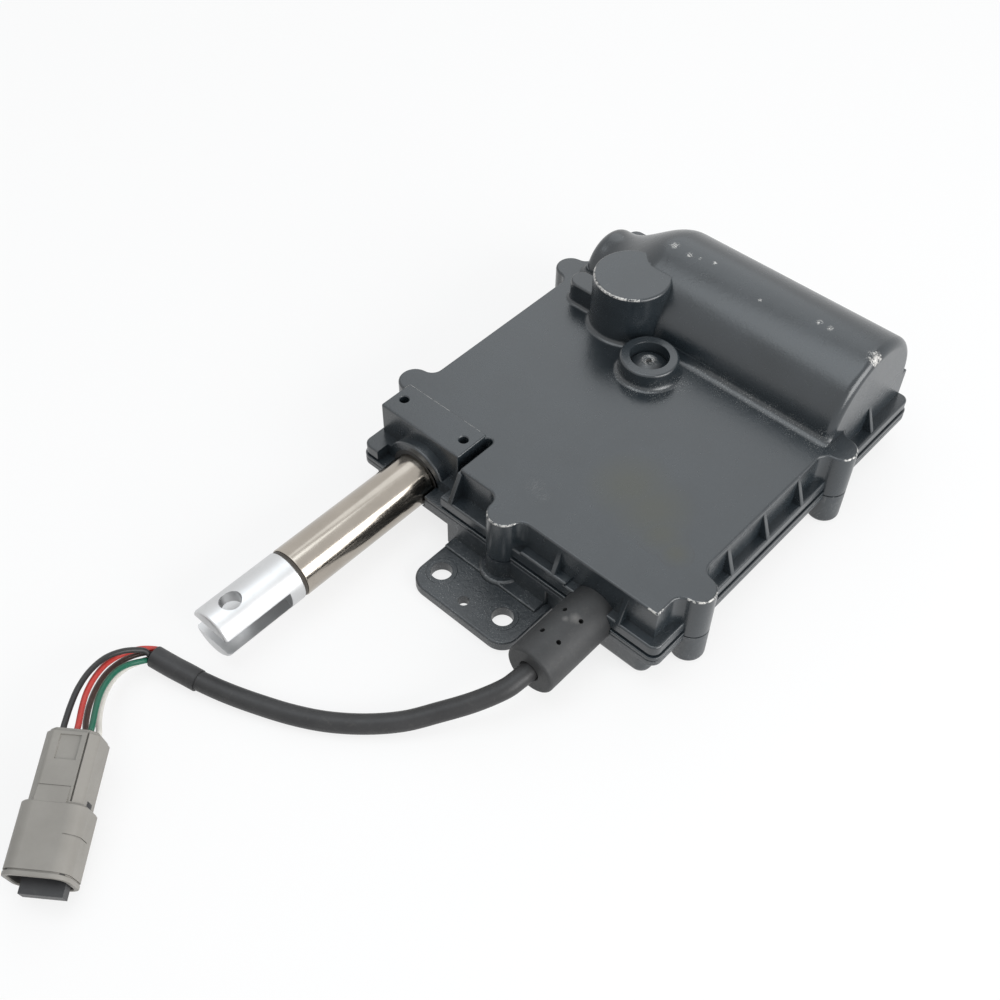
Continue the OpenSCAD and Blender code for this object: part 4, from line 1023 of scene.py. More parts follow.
    def boss(self, at: Plan, r: float, h: float, edge: float = 1.2) -> Piece:
        """Turn a boss that stands on the plate, with a fillet at its foot.

        Args:
            at: Its axis in plan.
            r: Its radius.
            h: Its height.
            edge: Radius of its top edge.

        Returns:
            The boss.
        """
        foot = [(r + self.fillet * s, self.fillet * c) for s, c in Bench.quarter(8)]
        rows = [(0.0, -1.5), (r + self.fillet, -1.5), *foot, *Bench.tip(r, h, edge), (0.0, h)]
        return Bench.turned(rows, (*at, self.sizes.plate), Axis.Z, 96)

    def tab(self) -> list[Piece]:
        """Make the half-round tab beside the tall boss, and the fillet at its foot.

        Returns:
            The two solids.
        """
        x, y, r = self.key
        plate = self.sizes.plate
        way = Outline().arc(x, y, r, 180, 360, 20).to(x + r, self.tall[1]).to(x - r, self.tall[1])
        solid = Bench.prism(way, plate - 1, plate + self.key_h, top=self.top_edge)
        return [solid, Bench.skirt(way, plate, self.key_fillet)]

    def gusset(self, x: float, y: float, reach: float, along_x: bool) -> Piece:
        """Make a gusset rib between a wall and the ledge.

        Args:
            x: Its place at the wall along X.
            y: Its place at the wall along Y.
            reach: How far it stands out over the ledge.
            along_x: Whether it stands out along X rather than Y.

        Returns:
            The rib.
        """
        root, ledge = self.rib_root, self.sizes.ledge
        plan = Outline.rounded((-root, -self.rib_half), (reach, self.rib_half), self.rib_corner, 3).points
        rings = []
        for z, share in ((ledge - 0.5, 1.0), (ledge + 0.4, 1.0), self.rib_tip):
            rows = [(-root + (u + root) * share, v) for u, v in plan]
            rings.append([(x + u, y + v, z) if along_x else (x - v, y + u, z) for u, v in rows])
        return Bench.stack(rings)

    def ribs(self) -> list[Piece]:
        """Make the gusset ribs along the right and front walls.

        Returns:
            The ribs.
        """
        s = self.sizes
        reach = s.flange_out - self.lip
        made = []
        for x in self.side_ribs:
            beside_dome = x <= self.motor_x + self.dome_r
            made.append(self.gusset(x, self.dome_y[1] if beside_dome else s.side, reach, False))
        for y in self.front_ribs:
            back = self.notch if y < 0 else 0
            made.append(self.gusset(s.front - back, y, reach + back, True))
        return made

    def skirt(self) -> Piece:
        """Make the fillet between the plate and the dome's and hump's front.

        Returns:
            The fillet.
        """
        side = [(self.motor_x + r, y) for r, y in self.dome_profile() if r > 1]
        first, last = (self.motor_x, side[-1][1] + 0.01), (self.motor_x, side[0][1] - 0.01)
        form = Bench.skirt(Outline([first, *reversed(side), last]), self.sizes.plate, self.foot)
        left, right = 0.15 - self.sizes.side, self.dome_y[1] - 0.02
        return Bench.combine(form, Cut.KEEP, [Bench.block((-220, left, 38.9), (-100, right, 50))])

    def build(self) -> Piece:
        """Model the cover and dress it.

        Returns:
            The casting, riding on the housing.
        """
        s = self.sizes
        under = s.split - 1
        low, high = self.groove
        solid = Bench.prism(self.walls(), under, s.plate, top=self.top_edge)
        dome = Bench.turned(self.dome_profile(), (self.motor_x, 0, s.plate), Axis.Y, 144)
        forms = [
            Bench.prism(s.flange(0.0), under, low, top=0.4),
            Bench.prism(s.flange(self.groove_depth), under, s.ledge - 0.5),
            Bench.prism(s.flange(self.lip), high, s.ledge, top=0.9, foot=0.3),
            *self.ribs(),
            *[Bench.block(*box, self.bar_edge) for box in (self.block, self.ledge_bar)],
            Bench.combine(dome, Cut.KEEP, [Bench.block((-260, -160, s.plate - 1.0), (0, 160, 120))]),
            self.skirt(),
            self.boss(self.tall, self.tall_r, self.tall_h, self.tall_edge),
            *self.tab(),
            self.boss(self.cup, self.cup_r, self.cup_h),
            s.collar(self.collar_back),
        ]
        Bench.combine(solid, Cut.ADD, forms)
        bore, top = self.tall_bore
        cuts = [
            *[Bench.block(*room) for room in self.rooms],
            self.dome_room(),
            Bench.bar((*self.tall, 10), (*self.tall, top), bore),
            *s.rod_cuts(),
            Bench.block(*self.step),
            Bench.turned(self.cup_bore, (*self.cup, 0), Axis.Z),
            Bench.bar((*self.cup, 10), (*self.cup, 45), s.screw_r),
            *[Bench.turned(self.block_bore, (*hole, 0), Axis.Z, 40) for hole in self.block_holes],
            *[Bench.bar((x, y, 10), (x, y, 30), s.screw_r, 32) for x, y, _, _ in s.lobes],
        ]
        Bench.combine(solid, Cut.TAKE, cuts)
        piece = Bench.finish(solid, "cover_casting", self.paint)
        return Bench.keep(piece, "housing", "upper_cover", "housing")

    def build_screw(self, paint: Finish) -> Piece:
        """Turn the painted screw in the cup, with its worn middle and hexagon.

        Args:
            paint: Its finish.

        Returns:
            The screw, riding on the housing.
        """
        rows = [(0.0, 36.6), (2.4, 36.6), (2.4, 42.5), (7.6, 42.5), (8.1, 43.0), (7.6, 43.5), (4.2, 45.4)]
        rows += [(3.4, 45.8), (2.9, 45.5), (0.0, 45.3)]
        solid = Bench.turned(rows, (*self.cup, 0), Axis.Z)
        Bench.combine(solid, Cut.TAKE, [Bench.bar((*self.cup, 43.6), (*self.cup, 47), 1.5, 6)])
        return Bench.keep(Bench.finish(solid, "cup_screw", paint), "housing", "boss_screw", "screw")


@dataclass
class Tray:
    """The lower casting: pan, rim, screw posts and the mounting ear."""

    sizes: Sizes
    paint: Finish
    under: float = 0.8
    floor: float = 3.2
    rim: float = 8.5
    rim_back: float = -200.3
    pan: Plan = (-199.3, 75.0)  # back end and half width
    pan_front: float = -25.3
    pan_top: float = 10.9
    corner: float = 5.0
    flange_low: float = 14.0
    open_top: float = 20.0  # where the cuts end, clear of the rim
    web: Point = (-17.3, -29.0, -15.8)  # back, left end and front of the ear's wall
    ear_front: float = 11.8
    ear_half: float = 25.5
    ear_right: float = 28.5
    ear_t: float = 5.0
    ear_corner: float = 8.5
    step: Point = (-10.0, 3.0, 6.2)  # front, underside and top of the step on the ear
    holes: tuple[Plan, ...] = ((0.0, 17.0), (0.0, -17.0))
    hole: Section = ((0, -1), (5, -1), (4.5, 0.4), (4.5, 5.1), (5.0, 5.8), (0, 5.8))
    hole_pad: Point = (6.6, 5.25, 0.25)  # radius, height and edge
    lobe_pad: Point = (10.4, 6.8, 1.8)
    post_edge: float = 2.2
    locator: Plan = (4.8, 2.4)  # place along X and radius
    sink: Section = ((0, -1), (4.3, -1), (4.3, 4.4), (2.6, 4.4), (2.6, 25), (0, 25))

    def hull(self, inset: float, pan: Point, rim: Point) -> list[Piece]:
        """Make the deep pan, its part that reaches to the ear's wall, and the rim over both.

        Args:
            inset: Setback, for the inside.
            pan: Heights of the pan's underside and top, and the radius of its bottom edges.
            rim: The same of the rim.

        Returns:
            The three solids.
        """
        side, front, r = self.pan[1] - inset, self.web[0] - inset, self.corner - inset
        back = self.pan[0] + inset
        deep = Outline.rounded((back, -side), (self.pan_front - inset, side), r)
        ahead = Outline.rounded((back, self.web[1] + inset), (front, side), r)
        over = Outline.rounded((self.rim_back + inset, -side), (front, side), r)
        pans = [Bench.prism(plan, *pan[:2], foot=pan[2], steps=6) for plan in (deep, ahead)]
        return [*pans, Bench.prism(over, *rim[:2], foot=rim[2])]

    def pad(self, at: Plan, r: float, h: float, edge: float) -> Piece:
        """Turn a low round pad on the ear."""
        return Bench.peg((*at, 0), Axis.Z, (1.0, h), r, edge)

    def build(self) -> Piece:
        """Model the tray and dress it.

        Returns:
            The casting, riding on the housing.
        """
        s = self.sizes
        lobes = [lobe[:2] for lobe in s.lobes]
        solid, *rest = self.hull(0, (self.under, self.pan_top, 4), (self.rim, s.tray_top, 1.2))
        flange = Bench.prism(s.flange(0.0), self.flange_low, s.tray_top, top=0.3, foot=0.6)
        Bench.combine(solid, Cut.ADD, [*rest, flange])
        hollows = [(low, self.open_top, 1.0) for low in (self.floor, self.pan_top)]
        Bench.combine(solid, Cut.TAKE, self.hull(s.wall, *hollows))
        below = Bench.block((-60, -90, self.under), (0, -20, s.tray_top))
        ear = Outline.rounded((-24.3, -self.ear_half), (self.ear_front, self.ear_right), self.ear_corner, 12)
        wall, side, front = self.web
        ahead, low, high = self.step
        half = self.ear_half - 0.4
        forms = [
            Bench.block((s.front, side, 0), (front, self.ear_half, s.tray_top), 0.5),
            Bench.prism(ear, 0, self.ear_t, top=1.0, foot=0.5),
            *[self.pad(hole, *self.hole_pad) for hole in self.holes],
            Bench.block((wall, -half, low), (ahead, half, high), 0.7),
            self.pad(lobes[0], *self.lobe_pad),
            *[Bench.peg((*at, 0), Axis.Z, (s.tray_top, 0), s.lobe_r, -self.post_edge, 6) for at in lobes],
            Bench.combine(s.collar(s.bush_back), Cut.KEEP, [below]),
        ]
        Bench.combine(solid, Cut.ADD, forms)
        x, r = self.locator
        cuts = [
            *s.rod_cuts(),
            Bench.bar((x, 0, -2), (x, 0, 9), r, 40),
            *[Bench.turned(self.hole, (*hole, 0), Axis.Z) for hole in self.holes],
            *[Bench.turned(self.sink, (*lobe, 0), Axis.Z, 40) for lobe in lobes],
        ]
        Bench.combine(solid, Cut.TAKE, cuts)
        piece = Bench.finish(solid, "tray_casting", self.paint)
        return Bench.keep(piece, "housing", "lower_tray", "housing")


@dataclass
class Rod:
    """The sliding rod: plated tube, dark ring and slotted clevis."""

    sizes: Sizes
    plate: Finish
    bare: Finish
    dark: Finish
    tube: Plan = (-75.8, 48.4)  # its ends
    bore: float = 8.6
    clevis: Plan = (49.8, 88.8)
    clevis_r: float = 11.0
    neck: Section = ((0.0, 32.4), (8.1, 32.4), (8.55, 32.9), (8.55, 49.8))
    slot: Plan = (13.3, 21.7)  # heights of its cheeks
    slot_x: float = 57.0
    pin: Plan = (77.4, 4.2)  # place along the rod and radius

    def turned(self, rows: Sequence[Plan], steps: int = 128) -> Piece:
        """Turn a section about the rod's axis."""
        return Bench.turned(rows, (0, self.sizes.rod_y, self.sizes.split), Axis.X, steps)

    def build_tube(self) -> Piece:
        """Turn the tube, with broken edges at both ends.

        Returns:
            The tube, riding on the rod.
        """
        a, b = self.tube
        r, bore = self.sizes.rod_r, self.bore
        rows = [(bore, a), (r - 0.4, a), (r, a + 0.4), (r, b - 0.5), (r - 0.1, b - 0.2), (r - 0.4, b)]
        piece = Bench.finish(self.turned([*rows, (bore, b)], 160), "rod_sleeve", self.plate, 50)
        return Bench.keep(piece, "rod", "rod_tube", "plated_tube")

    def build_ring(self) -> Piece:
        """Turn the dark ring between tube and clevis.

        Returns:
            The ring, riding on the rod.
        """
        a, b = self.tube[1], self.clevis[0]
        r, bore = self.sizes.rod_r - 0.4, self.bore
        rows = [(bore, a), (r - 0.2, a), (r, a + 0.3), (r - 0.25, (a + b) / 2), (r, b - 0.3), (r - 0.2, b)]
        piece = Bench.finish(self.turned([*rows, (bore, b)]), "crimp_ring", self.dark, 50)
        return Bench.keep(piece, "rod", "clevis_ring", "seal")

    def build_clevis(self) -> Piece:
        """Turn the clevis and cut its slot and pin hole.

        Returns:
            The clevis, riding on the rod.
        """
        a, b = self.clevis
        r = self.clevis_r
        rows = [*self.neck, (r - 0.5, a), (r, a + 0.5), (r, b - 1.1), (r - 0.3, b - 0.5), (r - 1, b)]
        low, high = self.slot
        x, hole = self.pin
        wide, slack = hole + 0.5, hole + 0.4
        rims = [(0, -2), (wide, -2), (wide, 6.5), (hole, 7.6), (hole, low - 0.5), (slack, low + 0.2)]
        rims += [(slack, high - 0.2), (hole, high + 0.5), (hole, 27.4), (wide, 28.5), (wide, 36), (0, 36)]
        cuts = [
            Bench.block((self.slot_x, -90, low), (b + 30, -20, high)),
            Bench.turned(rims, (x, self.sizes.rod_y, 0), Axis.Z, 64),
        ]
        solid = Bench.combine(self.turned([*rows, (0.0, b)], 160), Cut.TAKE, cuts)
        piece = Bench.finish(solid, "clevis_fork", self.bare, 40)
        return Bench.keep(piece, "rod", "rod_clevis", "bare_aluminium")


@dataclass
class Cable:
    """The grommet, the cable with its sleeve end, and the five loose wires."""

    sizes: Sizes
    rubber: Finish
    jacket: Finish
    wires: dict[str, Finish]
    r: float = 4.0
    wire_r: float = 1.15
    grommet: Plan = (-29.1, 18.4)  # its ends
    dimples: Point = (6.5, 21.5, 1.0)  # place along X, angle from the top and radius
    route: tuple[Point, ...] = (
        (17, 46.8, 17.5), (23.5, 46.2, 16.9), (30, 44.5, 15.5), (40, 38.5, 12), (50.5, 30.5, 8.5),
        (61, 22.5, 6), (71, 12.5, 4.8), (80, 1, 4.4), (87, -11, 4.4), (93, -24.5, 4.4), (98, -37.5, 4.6),
        (102, -50.5, 5), (104.5, -60, 5.6), (106.5, -68.5, 6.4),
    )  # fmt: skip
    sleeve: tuple[Point, ...] = (
        (101.6, -48.5, 4.95), (103, -54.4, 5.2), (104.6, -60.4, 5.65), (106.6, -68.9, 6.4),
    )  # fmt: skip
    sleeve_t: float = 0.45
    middle: tuple[Point, ...] = (
        (110.5, -72, 8), (117, -73.5, 10), (124, -72.5, 12.2), (131, -69, 14.6), (137.5, -64, 17),
        (143, -58.5, 19),
    )  # fmt: skip
    # Colour, angle round the cable's end, contact's place and row, and how high the wire bows.
    plan: tuple[tuple[str, float, int, int, float], ...] = (
        ("black", 60, -1, 1, 2.8),
        ("red", 140, 0, 1, 0),
        ("brown", 200, 0, -1, 0),
        ("green", -5, 1, 1, 0),
        ("white", 265, 1, -1, 0),
    )
    ring: float = 2.65  # radius at which the wires leave the sleeve
    pitch: float = 5.0  # between contacts in a row
    row: float = 4.2  # of a contact from the axis

    def build_grommet(self) -> Piece:
        """Turn the grommet and sink its four small holes.

        Returns:
            The grommet, riding on the housing.
        """
        s = self.sizes
        a, b = self.grommet
        r, bore = s.grommet_r, self.r + 0.1
        rows = [(bore, a), (r, a), *Bench.tip(r, b, 1.5, 6), (bore + 0.6, b), (bore, b - 0.7)]
        solid = Bench.turned(rows, (0, s.cable_y, s.split), Axis.X, 96)
        x, turn, hole = self.dimples
        cuts = []
        for place, side in ((-x, -turn), (-x, turn), (x, -turn), (x, turn)):
            out = Vector((0, -math.sin(math.radians(side)), math.cos(math.radians(side))))
            foot = Vector((place, s.cable_y, s.split))
            cuts.append(Bench.bar(foot + out * (r - 3), foot + out * (r + 1), hole, 24))
        piece = Bench.finish(Bench.combine(solid, Cut.TAKE, cuts), "cable_bush", self.rubber)
        return Bench.keep(piece, "housing", "cable_grommet", "grommet_rubber")

    def wire_points(self, wire: Sequence[float], rear: Vector, ahead: Vector) -> list[Point]:
        """Lead one wire from its place round the cable's end to its contact.

        Args:
            wire: Its angle round the cable's end in degrees, its contact's place along the row, the
                row, and how high it bows between its ends.
            rear: Middle of the connector's rear face.
            ahead: The connector's direction.

        Returns:
            The points of its route.
        """
        angle, place, row, rise = wire
        a = math.radians(angle)
        end = Vector(self.route[-1])
        out = (end - Vector(self.route[-2])).normalized()
        line = [end, end + out * 1.5, *[Vector(p) for p in self.middle], rear - ahead * 3, rear]
        last = len(line) - 1
        found: list[Point] = []
        for i, spot in enumerate(line):
            t = min(max((i - 1) / (last - 2), 0), 1)
            way = out if i <= 1 else ahead if i >= last - 1 else (line[i + 1] - line[i - 1]).normalized()
            left = Vector((-way.y, way.x, 0)).normalized()
            beside = self.ring * math.cos(a) * (1 - t) + self.pitch * place * t
            above = self.ring * math.sin(a) * (1 - t) + self.row * row * t + rise * math.sin(math.pi * t)
            found.append(tuple(spot + left * beside + way.cross(left) * above))
        return found

    def declare(self, line: Route, r: float) -> None:
        """Work out a cord's first point in metres and its length, and keep neither.

        Args:
            line: Its route.
            r: Its radius in millimetres; not used.
        """
        [c * MM for c in line.points[0]]
        line.length()  # fmt: skip

    def build_cords(self, connector: Connector) -> None:
        """Args:
            connector: The connector that the wires lead to.
        """
        line = Route(self.route)
        cable = line.cord("cable_lead", self.r, self.jacket)
        cuff = Route(self.sleeve).cord("cable_cuff", self.r + self.sleeve_t, self.jacket)
        Bench.take(cuff)
        bpy.ops.object.convert(target="MESH")
        bpy.ops.object.shade_smooth_by_angle(angle=math.radians(40))
        for piece in (cable, cuff):
            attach(piece, "housing")
        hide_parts("cable_jacket")
        self.declare(line, self.r)
        for colour, *rest in self.plan:
            way = Route(self.wire_points(rest, connector.rear, connector.axes[0]))
            wire = way.cord(f"lead_{colour}", self.wire_r, self.wires[colour])
            Bench.keep(wire, "housing", f"wire_{colour}", f"wire_{colour}")
            self.declare(way, self.wire_r)


@dataclass
class Connector:
    """The sealed connector at the end of the wires."""

    plastic: Finish
    # socket: darker finish for the inside of the mouth, partly the plastic's own tone and partly painted
    # shade
    socket: Finish
    plan: Plan = (149.5, -52.0)  # place of its rear face
    turn: float = 37.0
    pitch: float = 11.0
    rear_size: Point = (26.5, 19.5, 18.6)  # length, width and height
    front_size: Point = (25.5, 23.75, 20.5)
    corner: float = 6.0
    chamfer: float = 3.2
    soft: float = 0.8
    wall: float = 1.8
    lip: float = 1.6
    ramp_y: Plan = (-6.2, 5.2)
    tongue: Point = (-5.8, 9.0, 2.65)  # sides and half height of its slot
    seam: Plan = (10.5, 10.85)  # from the shell's rear
    pocket: Spot = (2.6, 11.6, -3.4, 4.3)  # ends and sides of the latch pocket
    rows: Plan = (-4.2, 4.2)
    places: Point = (-5.0, 0.0, 5.0)
    contact_r: float = 0.85
    rear: Vector = field(init=False)
    axes: tuple[Vector, Vector, Vector] = field(init=False)

    def __post_init__(self) -> None:
        """Settle the connector's place and directions."""
        t, p = math.radians(self.turn), math.radians(self.pitch)
        ahead = Vector((math.cos(p) * math.cos(t), math.cos(p) * math.sin(t), -math.sin(p)))
        left = Vector((-math.sin(t), math.cos(t), 0))
        self.axes = (ahead, left, ahead.cross(left))
        length = self.rear_size[0] + self.front_size[0]
        self.rear = Vector((*self.plan, length * math.sin(p) + self.front_size[2] / 2 * math.cos(p)))

    def spot(self, *place: float) -> Vector:
        """Turn a place ahead of the rear face, left of the axis and above it into the frame."""
        return sum((axis * part for axis, part in zip(self.axes, place)), self.rear)

    def loft(self, outline: Outline, *levels: Plan) -> Piece:
        """Extrude a section along the axis.

        Args:
            outline: The section.
            levels: Distance from the rear face and how far the section is moved out, one after another.

        Returns:
            The solid.
        """
        return Bench.stack([[self.spot(x, u, v) for u, v in outline.moved(out)] for x, out in levels])

    def box(self, low: Point, high: Point, edge: float = 0.1) -> Piece:
        """Make a rounded bar along the axis, between two corners in the connector's own frame."""
        return self.loft(Outline.rounded(low[1:], high[1:], edge, 3), (low[0], 0), (high[0], 0))

    def octagon(self) -> Outline:
        """Give the rear body's section, with softened corners.

        Returns:
            The section.
        """
        w, h, c = self.rear_size[1] / 2, self.rear_size[2] / 2, self.chamfer
        half = [Vector(p) for p in ((w, c - h), (w, h - c), (w - c, h), (c - w, h))]
        corners = [*half, *[-p for p in half]]
        way = Outline()
        for before, spot, after in zip([corners[-1], *corners], corners, [*corners[1:], corners[0]]):
            a, b = (spot + (other - spot).normalized() * self.soft for other in (before, after))
            way.to(*a).to(*(a * 0.25 + spot * 0.5 + b * 0.25)).to(*b)
        return way

    def shell(self, inset: float = 0.0) -> Outline:
        """Give the front shell's section, moved in."""
        w, h = self.front_size[1] / 2 - inset, self.front_size[2] / 2 - inset
        return Outline.rounded((-w, -h), (w, h), self.corner - inset, 8)

    def ramp(self) -> Piece:
        """Make the flat that leads the rear's top up to the shell's.

        Returns:
            The solid.
        """
        rear, low, high = self.rear_size[0], self.rear_size[2] / 2, self.front_size[2] / 2
        a, b = self.ramp_y
        levels = ((rear - 5.5, low - 0.02), (rear - 4.9, low + 0.25), (rear + 2.0, high - 0.01))
        return Bench.stack([[self.spot(x, *p) for p in ((a, 6), (b, 6), (b, z), (a, z))] for x, z in levels])

    def marks(self) -> list[Piece]:
        """Make the shallow cuts on the body: latch pocket, side groove and mould lines.

        Returns:
            The solids to take away.
        """
        rear, top = self.rear_size[0], self.rear_size[2] / 2
        seam = self.loft(self.shell(), *[(rear + x, 1) for x in self.seam])
        Bench.combine(seam, Cut.TAKE, [self.loft(self.shell(), (rear + 10, -0.3), (rear + 11.4, -0.3))])
        Bench.combine(seam, Cut.KEEP, [self.box((rear + 9, 6.8, -1), (rear + 12, 20, 20), 0.2)])
        start, end, left, right = self.pocket
        plan = Outline.rounded((left, top - 0.55), (right, top + 2), 0.1, 2)
        pocket = self.loft(plan, (start, 0), (end, 0))
        groove = self.box((-1, 6.0, top - 1.3), (rear - 0.6, 6.7, top + 2))
        line = self.box((rear - 5.8, -6.6, top - 0.3), (rear - 5.5, 5.2, top + 2))
        return [seam, pocket, groove, line]

    def build(self) -> Piece:
        """Model the connector's body and dress it.

        Returns:
            The body, riding on the housing.
        """
        rear, full = self.rear_size[0], self.rear_size[0] + self.front_size[0]
        lip = full - self.lip
        levels = ((0, -1.3), (0.4, -0.9), (1.2, -0.9), (1.2, -0.3), (1.5, 0), (rear + 1, 0))
        solid = self.loft(self.octagon(), *levels)
        levels = [(rear - 0.5, -1.5), (rear, -0.5), (rear + 0.5, 0), (lip - 0.6, 0), (lip - 0.6, -0.6)]
        levels += [(lip, -0.6), (lip, -0.15), (lip + 0.15, 0)]
        levels += [(full - 0.4, 0), (full - 0.12, -0.12), (full, -0.4)]
        Bench.combine(solid, Cut.ADD, [self.loft(self.shell(), *levels), self.ramp()])
        left, right, half = self.tongue
        cuts = [
            *self.marks(),
            self.loft(self.shell(self.wall), (rear + 1.8, 0), (full - 0.5, 0), (full + 0.5, 0.5)),
            self.box((-1, -7.1, -6.3), (4, 7.1, 6.3), 0.6),
            self.box((rear - 3, left, -half), (rear + 2, right, half)),
            self.box((rear + 1.5, left, -half), (full + 1, right + 0.8, half)),
        ]
        for place in [(side, row) for row in self.rows for side in self.places]:
            cuts.append(Bench.bar(self.spot(-1, *place), self.spot(full, *place), self.contact_r, 24))
        Bench.combine(solid, Cut.TAKE, cuts)
        piece = Bench.finish(solid, "connector_shell", self.plastic, 34)
        # Faces inside the mouth take the darker finish: partly the plastic's own tone, partly painted shade
        # in the recess.
        piece.data.materials.append(self.socket)
        w, h = (size / 2 - self.wall + 0.1 for size in self.front_size[1:])
        for face in piece.data.polygons:
            u, v, z = [(face.center / MM - self.rear).dot(axis) for axis in self.axes]
            if rear + 1.5 < u < full - 1.2 and abs(v) < w and abs(z) < h:
                face.material_index = 1
        return Bench.keep(piece, "housing", "connector_body", "connector_grey")


@dataclass
class InnerWorks:
    """The nodes that keep their solid shape, and the finish of each."""

    nodes: dict[str, Piece]

    def dress(self, finishes: dict[str, Finish], plan: dict[str, str]) -> None:
        """Give each kept node its finish.

        Args:
            finishes: Materials by name.
            plan: Names of the nodes, parted by spaces, for each material's name.
        """
        for finish, names in plan.items():
            for name in names.split():
                node = self.nodes[name]
                node.data.materials.clear()
                node.data.materials.append(finishes[finish])
                log.info("%s: %s", name, finish)


@dataclass
class Studio:
    """The camera, the pale floor and the soft light."""

    eye: Point = (0.2215, 0.2109, 0.4194)
    right: Point = (-0.67359, 0.73901, 0.01182)
    down: Point = (0.55529, 0.51657, -0.65177)
    ahead: Point = (-0.48777, -0.43247, -0.75832)
    lens: float = 45.39
    sky: float = 0.55
    floor_pale: Colour = (0.86, 0.858, 0.855)
    floor_white: float = 0.78
    floor_span: Plan = (0.6, 1.6)
    cool: Colour = (0.88, 0.95, 1.0)

    def camera(self) -> None:
        """Set the camera at the photograph's viewing angle."""
        Bench.clear()
        bpy.ops.object.camera_add()
        camera = bpy.context.object
        camera.data.lens = self.lens
        camera.data.sensor_width = 36
        camera.data.clip_start = 0.01
        axes = Matrix((self.right, -Vector(self.down), -Vector(self.ahead))).transposed().to_4x4()
        camera.matrix_world = Matrix.Translation(self.eye) @ axes
        bpy.context.scene.camera = camera

    def lamp(
        self, name: str, at: Point, aim: Point, size: Plan, power: float, tint: Colour = (1.0, 1.0, 1.0)
    ) -> None:
        """Hang a soft area lamp.

        Args:
            name: Its name.
            at: Its place in metres.
            aim: The point that it faces.
            size: Its width and height.
            power: Its power in watts.
            tint: Its colour.
        """
        Bench.clear()
        turn = (Vector(aim) - Vector(at)).to_track_quat("-Z", "Y").to_euler()
        bpy.ops.object.light_add(type="AREA", location=at, rotation=turn)
        lamp = bpy.context.object
        lamp.name = name
        lamp.data.shape = "RECTANGLE"
        lamp.data.size, lamp.data.size_y = size
        lamp.data.energy = power
        lamp.data.color = tint

    def floor(self) -> None:
        """Lay the pale floor, which runs to white far from the object."""
        Bench.clear()
        bpy.ops.mesh.primitive_plane_add(size=8, location=(0, 0, 0))
        floor = bpy.context.object
        floor.name = "floor"
        g = Graph(bpy.data.materials.new("floor_pale"))
        dull = tuple(c * 0.985 for c in self.floor_pale)
        tint = g.blend(g.span(g.noise(1.6, 2), 0.3, 0.7), self.floor_pale, dull)
        g.shade(Base_Color=tint, Roughness=0.75, Specular_IOR_Level=0.2)
        far = g.add("VectorMath", g.place, operation="LENGTH").outputs["Value"]
        share = g.span(far, *self.floor_span, self.floor_white, 1.0)
        white = g.add("Emission")
        shown = g.math("MULTIPLY", g.seen(), share)
        mixed = g.add("MixShader", shown, g.shader.outputs[0], white.outputs[0])
        g.put(g.out.inputs[0], mixed.outputs[0])
        floor.data.materials.append(g.owner)

    def light(self) -> None:
        """Set the sky and the lamps."""
        scene = bpy.context.scene
        scene.view_settings.view_transform = "Standard"
        scene.world = bpy.data.worlds.new("studio")
        g = Graph(scene.world, "Background", "OutputWorld")
        strength = g.math("MULTIPLY_ADD", g.seen(), 1 - self.sky, self.sky)
        g.shade(Color=(1, 1, 1, 1), Strength=strength)
        self.lamp("key", (0.1, -0.15, 1.2), (-0.1, 0, 0.02), (0.8, 1.1), 4.8, self.cool)
        self.lamp("back", (-0.9, -0.55, 0.95), (-0.12, 0, 0.05), (0.8, 1.0), 2.0, self.cool)
        self.lamp("side", (-0.15, 1.15, 0.5), (-0.1, 0, 0.03), (1.2, 0.8), 14.0)


# Places and widths, in millimetres, of the marks that the photograph shows on the paint.
CHIPS: tuple[Spot, ...] = (
    (-165.1, -31.2, 71.1, 4.2), (-164.2, -22.3, 70.9, 3.0), (-166.9, -10.8, 71.2, 2.4),
    (-165.3, -17.7, 71.1, 1.8), (-165.5, 44.0, 71.1, 3.0), (-165.2, 49.1, 71.1, 2.8),
    (-160.9, 17.2, 70.3, 1.6), (-163.5, 71.8, 70.4, 6.5), (-169.4, -62.3, 55.0, 2.4),
)  # fmt: skip
# Rubbed edges shown as bare metal: partly real wear, partly a painted highlight along rounded edges.
RIM_WEAR_AND_HIGHLIGHTS: tuple[Spot, ...] = (
    (-12.0, -2.6, 39.4, 8), (-12.3, 2.0, 39.4, 8), (-14.5, 5.2, 39.4, 7), (-21.2, 73.8, 39.3, 7),
    (-36.5, 82.5, 39.4, 9), (-41.0, 85.5, 39.4, 7), (-139.6, 85.5, 39.5, 10), (-163.5, 73.0, 69.5, 6),
    *[(x, y, 65.2, 10) for x, y in ((-131.0, -47.5), (-127.0, -42.0), (-125.0, -35.0), (-127.0, -27.0))],
    *[(-44.5, y, 40.6, 9) for y in (-74.0, -66.0, -58.0, -41.0)],
)  # fmt: skip
GRIT: tuple[Spot, ...] = (
    (-107.0, -6.0, 40.5, 9), (-113.0, 3.5, 40.5, 12), (-124.0, 6.5, 40.5, 12), (-108.5, -16.0, 40.5, 9),
    (-121.8, -8.7, 42.5, 14), (-134.8, 10.0, 40.5, 12), *[(-135.0, y, 40.5, 12) for y in (22.0, 34.0, 46.0)],
    (-135.5, 58.0, 40.5, 12), (-136.0, 70.0, 40.5, 14),
)  # fmt: skip
SCUFFS: tuple[Spot, ...] = ((-37.6, 0.4, 40, 9), (-35.5, 6.0, 40, 6))
STAIN: tuple[Spot, ...] = (
    (-48.5, 62.0, 40.0, 13), (-52.5, 52.0, 40.0, 20), (-60.0, 42.0, 40.0, 34), (-64.0, 28.0, 40.0, 36),
)  # fmt: skip
HEAD: tuple[Spot, ...] = ((-121.8, -8.7, 45.6, 7), (-123.4, -7.4, 45.5, 3))
SMUDGES: tuple[Spot, ...] = ((-5.8, 48.5, 28.5, 5), (-3.0, 46.0, 28.5, 3))
